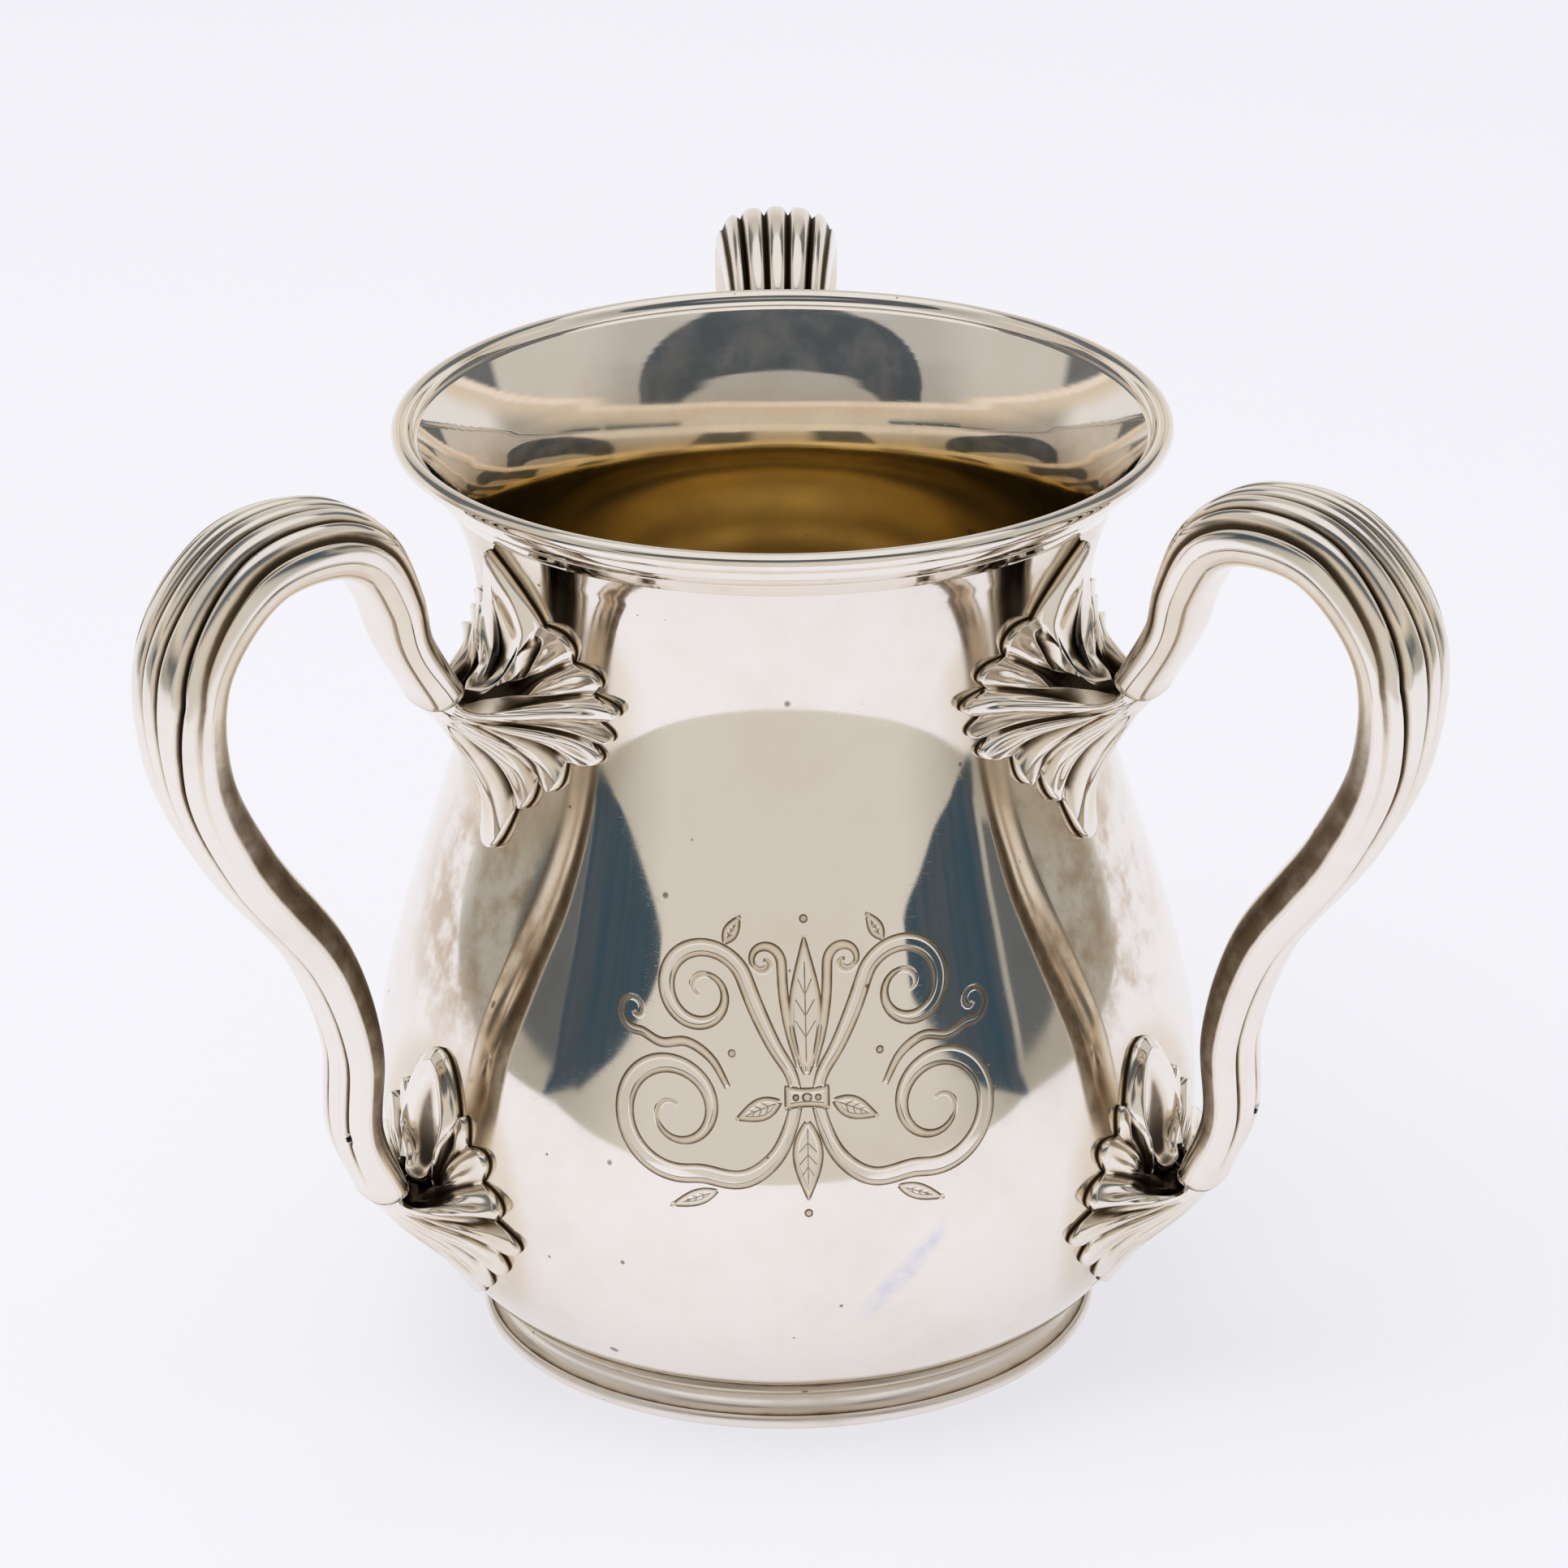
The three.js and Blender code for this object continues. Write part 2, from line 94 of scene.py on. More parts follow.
# Lobe tips of a leaf below its petal, sideways and up from the joint, as shares of its size
UPPER_TIPS = (
    (0.5, 0.41), (0.71, 0.22), (0.85, 0.04), (0.82, -0.13), (0.75, -0.28), (0.46, -0.52),
    (0.27, -0.66), (0, -1),
)
LOWER_TIPS = (
    (0.4, 0.63), (0.64, 0.42), (0.78, 0.12), (0.91, -0.19), (0.68, -0.46), (0.37, -0.7), (0, -0.92),
)
# Outline of the petal from its tip to the first dip
UPPER_PETAL = ((0, 0.86), (0.085, 0.75), (0.165, 0.64), (0.23, 0.55), (0.275, 0.485), (0.3, 0.44))
LOWER_PETAL = ((0, 1), (0.1, 0.97), (0.2, 0.87), (0.27, 0.75), (0.31, 0.65), (0.325, 0.58))
# Middle line of the petal's curled rim, which hooks back under the petal's hollow
UPPER_HOOK = ((0, 0.83), (0.075, 0.72), (0.145, 0.62), (0.2, 0.52), (0.235, 0.43), (0.225, 0.34),
              (0.165, 0.25), (0.08, 0.2), (0, 0.185))
LOWER_HOOK = ((0, 0.96), (0.09, 0.92), (0.175, 0.82), (0.235, 0.7), (0.265, 0.58), (0.25, 0.45),
              (0.18, 0.34), (0.09, 0.28), (0, 0.26))


def length(name, text, value):
    return FloatProperty(name=name, description=text, default=value, min=0.0, unit="LENGTH",
                         subtype="DISTANCE", precision=4)


def share(name, text, value):
    return FloatProperty(name=name, description=text, default=value, subtype="FACTOR")


def angle(name, text, degrees):
    return FloatProperty(name=name, description=text, default=math.radians(degrees),
                         subtype="ANGLE")


def colour(name, text, value):
    return FloatVectorProperty(name=name, description=text, default=value, size=3, min=0.0,
                               max=1.0, subtype="COLOR")


class CupSizes(bpy.types.PropertyGroup):
    cup_height: length("Cup height", "Top of the rim bead above the table", 0.1682)
    lip_radius: length("Lip radius", "Outside of the rim bead", 0.0675)
    neck_radius: length("Neck radius", "Narrowest outside radius", 0.0532)
    neck_height: length("Neck height", "Height of the narrowest place", 0.137)
    belly_radius: length("Belly radius", "Widest outside radius", 0.0733)
    belly_height: length("Belly height", "Height of the widest place", 0.044)
    foot_join_radius: length("Foot join radius", "Outside of the body's lower edge", 0.0535)
    foot_height: length("Foot height", "The body stands on the foot ring here", 0.0063)
    wall: length("Wall", "Sheet thickness of body and base", 0.001)
    bead_radius: length("Bead radius", "Half the thickness of the rim bead", 0.00162)
    moulding_drop: length("Moulding drop", "Top of the bead to the moulding's edge", 0.0095)
    moulding_thickness: length("Moulding thickness", "Plain part of the moulding", 0.001)
    seat_below_top: length("Seat below top", "Top of the bead down to the body's lip", 0.0022)
    flange_reach: length("Flange reach", "Foot past the body's lower edge", 0.0015)
    flange_height: length("Flange height", "Height of the foot's flange", 0.0024)
    cove_depth: length("Cove depth", "Depth of the foot's hollow", 0.0015)
    foot_wall: length("Foot wall", "Thinnest part of the foot ring", 0.0008)
    base_recess: length("Base recess", "Underside of the base above the table", 0.0012)
    handle_reach: length("Handle reach", "Neck to the handle's outermost centre line", 0.0655)
    upper_joint_drop: length("Upper joint drop", "Upper joint below the neck", 0.006)
    lower_joint_drop: length("Lower joint drop", "Lower joint below the belly", 0.003)
    handle_width: length("Handle width", "Across the reeds, at the widest place", 0.0225)
    handle_depth: length("Handle depth", "Reeded crown to plain back", 0.0125)
    upper_leaf_drop: length("Upper leaf drop", "Upper joint to the leaf's lowest tip", 0.029)
    lower_leaf_rise: length("Lower leaf rise", "Lower joint to the leaf's highest tip", 0.025)
    leaf_edge: length("Leaf edge", "Thickness of a leaf's edge on the body", 0.0013)
    leaf_rise: length("Leaf rise", "Height of a leaf's shoulder above the body", 0.0036)
    solder_gap: length("Solder gap", "Between parts that are soldered together", 0.0003)
    vent_radius: length("Air hole radius", "Small air hole low on each handle", 0.0005)
    scroll_height: length("Scroll height", "Height of the engraving's middle", 0.0755)
    scroll_width: length("Scroll width", "Width of the engraving", 0.067)
    scroll_line: length("Engraved line", "Width of an engraved line", 0.00038)
    scroll_turn: angle("Engraving's place", "Direction of the engraving's middle", 272.3)
    reed_share: share("Reed height", "Rise of a reed, of the handle's depth", 0.085)
    back_angle: angle("Back handle", "Direction of the back handle", 90)
    left_angle: angle("Left handle", "Direction of the left handle", 212)
    right_angle: angle("Right handle", "Direction of the right handle", 329.5)
    around: IntProperty(name="Steps around", description="Faces round the cup", default=256,
                        min=48)


class CupColours(bpy.types.PropertyGroup):
    silver: colour("Silver", "Polished silver", (0.92, 0.87, 0.81))
    warm_silver: colour("Warm silver", "Silver with the first yellow tarnish", (0.80, 0.70, 0.57))
    # This colour tints a mottled brown patch on the body round each handle
    brown_patch_and_hollow_shade: colour("Stain", "Old brown stains beside the handles", (0.58, 0.43, 0.29))
    # The two tarnish colours below also paint the shade that the pieces mark in hollows and under edges
    tarnish_and_shade: colour("Tarnish", "Brown tarnish in hollows", (0.16, 0.11, 0.065))
    dark_tarnish_and_shade: colour("Dark tarnish", "Black tarnish in grooves", (0.022, 0.018, 0.014))
    gilding: colour("Gilding", "Gold wash inside the cup", (0.94, 0.79, 0.47))
    worn_gilding: colour("Worn gilding", "Dark worn gold wash", (0.68, 0.56, 0.42))
    smear: colour("Smear", "Bluish smear left by polish", (0.62, 0.66, 0.80))
    floor: colour("Floor", "Pale floor and background", (0.887, 0.879, 0.922))
    room: colour("Room", "Walls of the room that the silver mirrors", (0.69, 0.655, 0.60))
    dark_room: colour("Dark room", "Dark openings that the silver mirrors", (0.075, 0.09, 0.105))


def sizes():
    return bpy.context.scene.loving_cup_sizes


def colours():
    return bpy.context.scene.loving_cup_colours


# Shapes of the cup


def lip_height():
    """Top edge of the body, under the bead."""
    s = sizes()
    return s.cup_height - s.seat_below_top


def body_lip_radius():
    """Outside radius of the body's top edge, inside the bead."""
    s = sizes()
    return s.lip_radius - s.bead_radius * 1.85


def plain_radius(z):
    """Outside radius of the body: a parabola, a slow S and a parabola."""
    s = sizes()
    z = np.asarray(z, float)
    down = (s.belly_height - z) / (s.belly_height - s.foot_height)
    low = s.belly_radius - (s.belly_radius - s.foot_join_radius) * down**2
    t = np.clip((z - s.belly_height) / (s.neck_height - s.belly_height), 0, 1)
    middle = s.belly_radius + (s.neck_radius - s.belly_radius) * t * t * (3 - 2 * t)
    up = np.clip((z - s.neck_height) / (lip_height() - s.neck_height), 0, None)
    high = s.neck_radius + (body_lip_radius() - s.neck_radius) * up**2
    return np.where(z < s.belly_height, low, np.where(z < s.neck_height, middle, high))


def body_radius(z):
    """The same line with its changes of curve eased, so that mirrored edges run smoothly."""
    z = np.asarray(z, float)
    steps = np.linspace(-2.2, 2.2, 23)
    weight = np.exp(-(steps**2) / 2)
    reach = 0.004 * np.clip(np.minimum(z - sizes().foot_height, lip_height() - z) / 0.012, 0, 1)
    total = sum(w * plain_radius(z + reach * d) for d, w in zip(steps, weight))
    return total / weight.sum()


def offset_line(heights, offset):
    """Points up the body's outside, moved along the surface normal."""
    step = 1e-5
    slope = (body_radius(heights + step) - body_radius(heights - step)) / (2 * step)
    long = np.hypot(1, slope)
    return np.column_stack([body_radius(heights) + offset / long, heights - offset * slope / long])


def on_body(side, height, off=0.0):
    """Points on the body in the direction +X: side is measured along the surface."""
    radius = body_radius(height)
    turn = np.asarray(side) / radius
    reach = radius + off
    return np.stack([reach * np.cos(turn), reach * np.sin(turn), height + 0 * turn], axis=-1)


def smoothstep(low, high, x):
    t = np.clip((np.asarray(x, float) - low) / (high - low), 0, 1)
    return t * t * (3 - 2 * t)


def spun_about(points, turn):
    """Points turned about the cup's axis."""
    c, s = math.cos(turn), math.sin(turn)
    x, y, z = points[..., 0], points[..., 1], points[..., 2]
    return np.stack([c * x - s * y, s * x + c * y, z], axis=-1)


def catmull_rom(points, per_span):
    """Centripetal Catmull-Rom line through points of any dimension."""
    p = np.asarray(points, float)
    p = np.vstack([2 * p[0] - p[1], p, 2 * p[-1] - p[-2]])
    line = []
    for i in range(1, len(p) - 2):
        knots = [0.0]
        for a, b in zip(p[i - 1 : i + 2], p[i : i + 3]):
            knots.append(knots[-1] + max(np.linalg.norm((b - a)[:3]), 1e-9) ** 0.5)
        t0, t1, t2, t3 = knots
        t = np.linspace(t1, t2, per_span, endpoint=False)[:, None]
        a1 = (t1 - t) / (t1 - t0) * p[i - 1] + (t - t0) / (t1 - t0) * p[i]
        a2 = (t2 - t) / (t2 - t1) * p[i] + (t - t1) / (t2 - t1) * p[i + 1]
        a3 = (t3 - t) / (t3 - t2) * p[i + 1] + (t - t2) / (t3 - t2) * p[i + 2]
        b1 = (t2 - t) / (t2 - t0) * a1 + (t - t0) / (t2 - t0) * a2
        b2 = (t3 - t) / (t3 - t1) * a2 + (t - t1) / (t3 - t1) * a3
        line.append((t2 - t) / (t2 - t1) * b1 + (t - t1) / (t2 - t1) * b2)
    line.append(p[-2][None])
    return np.vstack(line)


def evened(line, count):
    """The same line with points at even distances."""
    gaps = np.linalg.norm(np.diff(line[:, :3], axis=0), axis=1)
    along = np.concatenate([[0], np.cumsum(gaps)])
    at = np.linspace(0, along[-1], count)
    return np.column_stack([np.interp(at, along, line[:, k]) for k in range(line.shape[1])])


# Meshes


def mesh_of(name, points, faces, marks=None):
    """An object from points and faces, shaded smooth, with a number on every point per mark."""
    mesh = bpy.data.meshes.new(name)
    mesh.from_pydata(points.reshape(-1, 3).tolist(), [], faces)
    mesh.polygons.foreach_set("use_smooth", np.ones(len(mesh.polygons), bool))
    for label, values in (marks or {}).items():
        layer = mesh.attributes.new(label, "FLOAT", "POINT")
        layer.data.foreach_set("value", np.asarray(values, np.float32).ravel())
    mesh.update()
    made = bpy.data.objects.new(name, mesh)
    bpy.context.scene.collection.objects.link(made)
    return made


def grid_faces(rows, columns, close_rows=False, close_columns=False, start=0):
    """Four-sided faces between rows of points, which may close on themselves either way."""
    faces = []
    for i in range(rows if close_rows else rows - 1):
        for k in range(columns if close_columns else columns - 1):
            a = start + i * columns + k
            b = start + i * columns + (k + 1) % columns
            c = start + ((i + 1) % rows) * columns + (k + 1) % columns
            d = start + ((i + 1) % rows) * columns + k
            faces.append((a, b, c, d))
    return faces


def turned(name, outline, marks=None):
    """A closed ring turned about the cup's axis from an outline of radius and height."""
    outline = np.asarray(outline, float)
    steps = sizes().around
    turn = np.linspace(0, 2 * math.pi, steps, endpoint=False)
    ring = np.stack([np.cos(turn), np.sin(turn)], axis=-1)
    points = np.empty((len(outline), steps, 3))
    points[..., :2] = outline[:, None, :1] * ring
    points[..., 2] = outline[:, None, 1]
    faces = grid_faces(len(outline), steps, close_rows=True, close_columns=True)
    area = np.sum(outline[:, 0] * np.roll(outline[:, 1], -1)
                  - np.roll(outline[:, 0], -1) * outline[:, 1])
    if area > 0:
        faces = [f[::-1] for f in faces]
    around = {}
    for label, values in (marks or {}).items():
        values = np.asarray(values, float)
        values = values[:, None] if values.ndim == 1 else values
        around[label] = np.broadcast_to(values, (len(outline), steps))
    made = mesh_of(name, points, faces, around)
    if outline[:, 0].min() <= 0:
        # Rows on the axis shrink to one point each
        shape = bmesh.new()
        shape.from_mesh(made.data)
        bmesh.ops.remove_doubles(shape, verts=shape.verts, dist=1e-7)
        shape.to_mesh(made.data)
        shape.free()
    return made


def placed(piece, node, material):
    """Fixes a piece to the cup, hides its CAD node and gives it its material."""
    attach(piece, "root")
    if node:
        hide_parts(node)
    piece.data.materials.append(material)
    return piece


# Finishes


class Nodes:
    """A node tree that is written from left to right."""

    def __init__(self, tree):
        self.tree = tree
        tree.nodes.clear()

    def add(self, kind, inputs=None, **settings):
        node = self.tree.nodes.new(kind)
        for key, value in settings.items():
            setattr(node, key, value)
        for key, value in (inputs or {}).items():
            if isinstance(value, bpy.types.NodeSocket):
                self.tree.links.new(value, node.inputs[key])
            else:
                node.inputs[key].default_value = value
        return node

    def maths(self, operation, a, b=0.0, c=0.0, clamp=False):
        node = self.add("ShaderNodeMath", {0: a, 1: b, 2: c}, operation=operation)
        node.use_clamp = clamp
        return node.outputs[0]

    def times(self, a, b):
        return self.maths("MULTIPLY", a, b)

    def plus(self, a, b):
        return self.maths("ADD", a, b)

    def less(self, a, b):
        return self.maths("SUBTRACT", a, b)

    def ramp(self, value, low, high, to_low=0.0, to_high=1.0):
        """A soft step from to_low, where the value is low, to to_high, where it is high."""
        node = self.add("ShaderNodeMapRange",
                        {"Value": value, "From Min": low, "From Max": high, "To Min": to_low,
                         "To Max": to_high}, interpolation_type="SMOOTHSTEP")
        return node.outputs["Result"]

    def band(self, value, low, high, soft):
        """1 between low and high, with soft edges."""
        rise = self.ramp(value, low - soft, low + soft)
        fall = self.ramp(value, high - soft, high + soft, 1.0, 0.0)
        return self.times(rise, fall)

    def mix(self, factor, a, b):
        """A colour from a, where the factor is 0, to b, where it is 1."""
        node = self.add("ShaderNodeMix", data_type="RGBA")
        for socket, value in ((node.inputs[0], factor), (node.inputs[6], a), (node.inputs[7], b)):
            if isinstance(value, bpy.types.NodeSocket):
                self.tree.links.new(value, socket)
            elif socket is node.inputs[0]:
                socket.default_value = value
            else:
                socket.default_value = (*value, 1.0)
        return node.outputs[2]

    def noise(self, where, scale, detail=2.0, roughness=0.5, stretch=None):
        if stretch:
            where = self.add("ShaderNodeMapping", {"Vector": where, "Scale": stretch}).outputs[0]
        node = self.add("ShaderNodeTexNoise", {"Vector": where, "Scale": scale, "Detail": detail,
                                               "Roughness": roughness})
        return node.outputs[0]

    def mark(self, label):
        """The number that the mesh carries on its points under that label."""
        return self.add("ShaderNodeAttribute", attribute_name=label).outputs["Fac"]


def specks(n, where, scale, size, share_of_cells):
    """Small dark spots, one in some of the cells."""
    cells = n.add("ShaderNodeTexVoronoi", {"Vector": where, "Scale": scale, "Randomness": 1.0})
    parts = n.add("ShaderNodeSeparateColor", {0: cells.outputs["Color"]})
    chosen = n.maths("LESS_THAN", parts.outputs[0], share_of_cells)
    wide = n.times(parts.outputs[1], size)
    spot = n.ramp(n.less(cells.outputs["Distance"], wide), -size * 0.35, 0.0, 1.0, 0.0)
    return n.times(spot, chosen)


def silver_finish(name, patch=0.3, rough=0.045, wave=0.12, gilt=False, smear=False):
    """Polished silver with yellow and brown tarnish, dark grooves, specks and fine scratches, and
    the painted shade that a piece marks, in the same browns and black.

    patch is the share of yellow clouds, rough the roughness, wave the unevenness of the sheet;
    gilt adds the gold wash where it is marked, and smear the streak and stains of the body.
    """
    c = colours()
    material = bpy.data.materials.new(name)
    material.use_nodes = True
    n = Nodes(material.node_tree)
    where = n.add("ShaderNodeTexCoord").outputs["Object"]
    cloud = n.noise(where, 34.0, 4.0, 0.6)
    small = n.noise(where, 190.0, 3.0, 0.6)
    grain = n.noise(where, 2600.0, 2.0, 0.6)
    # The mark holds tarnish, and painted shade under leaves' edges, in their hollows and on handle
    # backs
    tarnish_and_shade_level = n.mark("tarnish_and_shade")

    # Yellow tarnish lies in clouds, and thicker where the piece is marked, over tarnish and painted
    # shade alike
    yellow_tarnish_and_shade = n.ramp(n.plus(n.times(cloud, 0.7), n.times(small, 0.3)), 0.44, 0.70)
    yellow_tarnish_and_shade = n.times(yellow_tarnish_and_shade, patch)
    yellow_tarnish_and_shade = n.maths("ADD", yellow_tarnish_and_shade, n.ramp(tarnish_and_shade_level, 0.0, 0.45, 0.0, 0.85), clamp=True)
    shade = n.mix(yellow_tarnish_and_shade, c.silver, c.warm_silver)
    if gilt:
        # The gold wash ends in an uneven line below the lip and is worn inside
        gold = n.mark("gilding")
        edge = n.plus(gold, n.times(n.less(small, 0.5), 0.3))
        wash = n.ramp(edge, 0.1, 0.9)
        gold_shade = n.mix(n.ramp(cloud, 0.46, 0.74, 0.0, 0.7), c.gilding, c.worn_gilding)
        gold_shade = n.mix(n.ramp(gold, 0.45, 0.95), c.worn_gilding, gold_shade)
        shade = n.mix(wash, shade, gold_shade)
    # Brown and then black follow the mark, as tarnish and as painted shade
    brown_tarnish_and_shade = n.ramp(n.plus(tarnish_and_shade_level, n.times(n.less(small, 0.5), 0.35)), 0.38, 0.80)
    shade = n.mix(brown_tarnish_and_shade, shade, c.tarnish_and_shade)
    shade = n.mix(n.ramp(tarnish_and_shade_level, 0.72, 0.98), shade, c.dark_tarnish_and_shade)
    if smear:
        # A bluish streak left by polish lies low on the front
        parts = n.add("ShaderNodeSeparateXYZ", {0: where})
        off_x = n.less(parts.outputs[0], 0.019)
        off_z = n.less(n.less(parts.outputs[2], 0.038), n.times(off_x, 1.1))
        wipe = n.times(n.band(off_x, -0.006, 0.006, 0.003), n.band(off_z, -0.0022, 0.0022, 0.0018))
        wipe = n.times(wipe, n.ramp(parts.outputs[1], -0.03, -0.01, 1.0, 0.0))
        shade = n.mix(n.times(wipe, n.ramp(small, 0.35, 0.65, 0.2, 0.9)), shade, c.smear)
        # A mottled brown patch lies on the body round each handle
        blotch = n.ramp(n.plus(n.times(cloud, 0.45), n.times(small, 0.55)), 0.42, 0.63)
        brown_patch_and_hollow_shade = n.times(n.mark("brown_patch_and_hollow_shade"), blotch)
        shade = n.mix(n.times(brown_patch_and_hollow_shade, 0.8), shade, c.brown_patch_and_hollow_shade)
    spots = n.maths("MAXIMUM", specks(n, where, 95.0, 0.11, 0.22),
                    specks(n, where, 240.0, 0.12, 0.16))
    shade = n.mix(n.times(spots, 0.75), shade, c.tarnish_and_shade)

    # Fine polishing scratches run in a few directions and break up the mirror a little
    lines = []
    for stretch, turn in (((1.0, 1.0, 14.0), 0.0), ((9.0, 1.0, 5.0), 0.7), ((2.0, 12.0, 1.0), 1.3)):
        turned_where = n.add("ShaderNodeMapping",
                             {"Vector": where, "Rotation": (turn, turn * 0.7, turn * 0.4)})
        streak = n.noise(turned_where.outputs[0], 420.0, 3.0, 0.7, stretch)
        lines.append(n.ramp(streak, 0.62, 0.72))
    scratched = n.maths("MAXIMUM", lines[0], n.maths("MAXIMUM", lines[1], lines[2]))
    rough_map = n.plus(n.times(scratched, 0.03), n.ramp(cloud, 0.35, 0.7, rough * 0.75, rough * 1.5))
    rough_map = n.plus(rough_map, n.times(yellow_tarnish_and_shade, 0.06))
    rough_map = n.plus(rough_map, n.times(spots, 0.3))
    rough_map = n.plus(rough_map, n.times(n.ramp(tarnish_and_shade_level, 0.3, 0.95), 0.35))
    if gilt:
        rough_map = n.plus(rough_map, n.ramp(gold, 0.80, 1.0, 0.0, 0.12))
    if smear:
        rough_map = n.plus(rough_map, n.times(brown_patch_and_hollow_shade, 0.08))

    # Gentle unevenness of hand-worked sheet, then grain, scratches and pits
    dents = n.noise(where, 46.0, 1.0, 0.4)
    height = n.add("ShaderNodeBump",
                   {"Height": dents, "Strength": wave, "Distance": 0.0012})
    relief = n.plus(n.times(grain, 0.12), n.less(n.times(scratched, -0.16), n.times(spots, 0.8)))
    fine = n.add("ShaderNodeBump",
                 {"Height": relief, "Strength": 0.06, "Distance": 0.00005,
                  "Normal": height.outputs[0]})
    surface = n.add(
        "ShaderNodeBsdfPrincipled",
        {"Base Color": shade, "Metallic": 1.0, "Roughness": rough_map, "Normal": fine.outputs[0]},
    )
    n.add("ShaderNodeOutputMaterial", {"Surface": surface.outputs[0]})
    return material


def finish(name, make, **settings):
    """The material of that name, made on first use."""
    return bpy.data.materials.get(name) or make(name, **settings)


# Handles and leaves


def joint_heights():
    """Heights of a handle's upper and lower joint."""
    s = sizes()
    return s.neck_height - s.upper_joint_drop, s.belly_height - s.lower_joint_drop


def handle_stations():
    """Centre, direction, outward direction, width and depth along a handle in the X-Z plane."""
    s = sizes()
    upper, lower = joint_heights()
    low_start, high_start = (float(body_radius(z)) for z in (lower, upper))
    rows = []
    for reach, up, width, depth in HANDLE_LINE:
        start = low_start + (high_start - low_start) * min(max(up, 0), 1)
        rows.append((start + s.handle_reach * reach, 0, lower + (upper - lower) * up,
                     width * s.handle_width, depth * s.handle_depth))
    line = evened(catmull_rom(rows, 24), HANDLE_STEPS)
    along = np.gradient(line[:, :3], axis=0)
    along /= np.linalg.norm(along, axis=1)[:, None]
    outward = np.column_stack([-along[:, 2], 0 * along[:, 0], along[:, 0]])
    return line[:, :3], along, outward, line[:, 3], line[:, 4]


def rounded(value, power):
    """A power that keeps the sign, for superellipses."""
    return np.sign(value) * np.abs(value) ** power


def section_at(place):
    """The section's values at a share of the handle's length."""
    rows = np.array(SECTION_LINE)
    return {key: float(np.interp(place, rows[:, 0], rows[:, k + 1]))
            for k, key in enumerate(SECTION_KEYS)}


def seam_of(depth, plain, at):
    """How far outward from the centre line the halves meet, and 0 where the section is plain."""
    return depth * (0.5 - at["crown_share"]) * (1 - plain)


def reeded_ring(width, depth, plain, at):
    """Outside of the reeded half from one seam to the other, and how dark its grooves are."""
    right = [(at[groove], at[groove + "_cut"]) for groove in ("inner", "middle", "outer")]
    cuts = [(-middle, deep) for middle, deep in reversed(right)] + right
    bounds = [-1.0] + [middle for middle, _ in cuts] + [1.0]
    turn, reed = [], []
    for low, high in zip(bounds[:-1], bounds[1:]):
        u = np.linspace(-1, 1, STEPS_PER_REED, endpoint=False)
        spread = np.sin(u * math.pi / 2)
        a, b = math.asin(low), math.asin(high)
        turn.append(a + (b - a) * (spread + 1) / 2)
        reed.append(1 - spread**2)
    turn = np.concatenate(turn + [[math.pi / 2]])[::-1]
    reed = np.concatenate(reed + [[0.0]])[::-1]
    side = np.sin(turn)
    half = width / 2
    seam = seam_of(depth, plain, at)
    rise = sizes().reed_share * depth * (1 - plain)
    height = depth / 2 - seam - rise
    power = at["crown_power"] * (1 - plain) + END_POWER * plain
    crown = height * np.clip(1 - np.abs(side) ** power, 0, None) ** (1 / power)
    relief = 0.55 + 0.45 * reed
    dark = np.zeros_like(side)
    for middle, deep in cuts:
        away = np.abs(turn - math.asin(middle)) * np.maximum(np.cos(turn), 0.45) * half
        relief -= 1.1 * deep * np.exp(-((away / GROOVE_REACH) ** 2))
        # A deeper groove holds a wider dark line
        dark = np.maximum(dark, deep * np.exp(-((away / (0.0002 + 0.00045 * deep)) ** 4)))
    # The reeds run out at the seams
    relief *= 1 - np.abs(side) ** 14
    points = np.column_stack([side * half, seam + crown + relief * rise])
    return points, dark * (1 - plain), seam


def plain_ring(width, depth, plain, at):
    """Outside of the plain half, from one seam round the back to the other."""
    turn = np.linspace(math.pi, 2 * math.pi, 61)
    seam = seam_of(depth, plain, at)
    power = 2 / (at["back_power"] * (1 - plain) + END_POWER * plain)
    across = rounded(np.cos(turn), power) * width / 2
    down = rounded(np.sin(turn), power) * (depth / 2 + seam)
    low = -rounded(np.sin(turn), power)
    # The back browns across its width, less in its very middle: tarnish, and painted shade where it
    # faces the body
    brown_tarnish_and_shade = 0.74 * smoothstep(0.03, 0.12, low) * (1 - 0.66 * smoothstep(0.78, 0.94, low))
    brown_tarnish_and_shade = brown_tarnish_and_shade * at["brown_tarnish_and_shade"]
    return np.column_stack([across, seam + down]), brown_tarnish_and_shade * (1 - plain * 0.5), seam


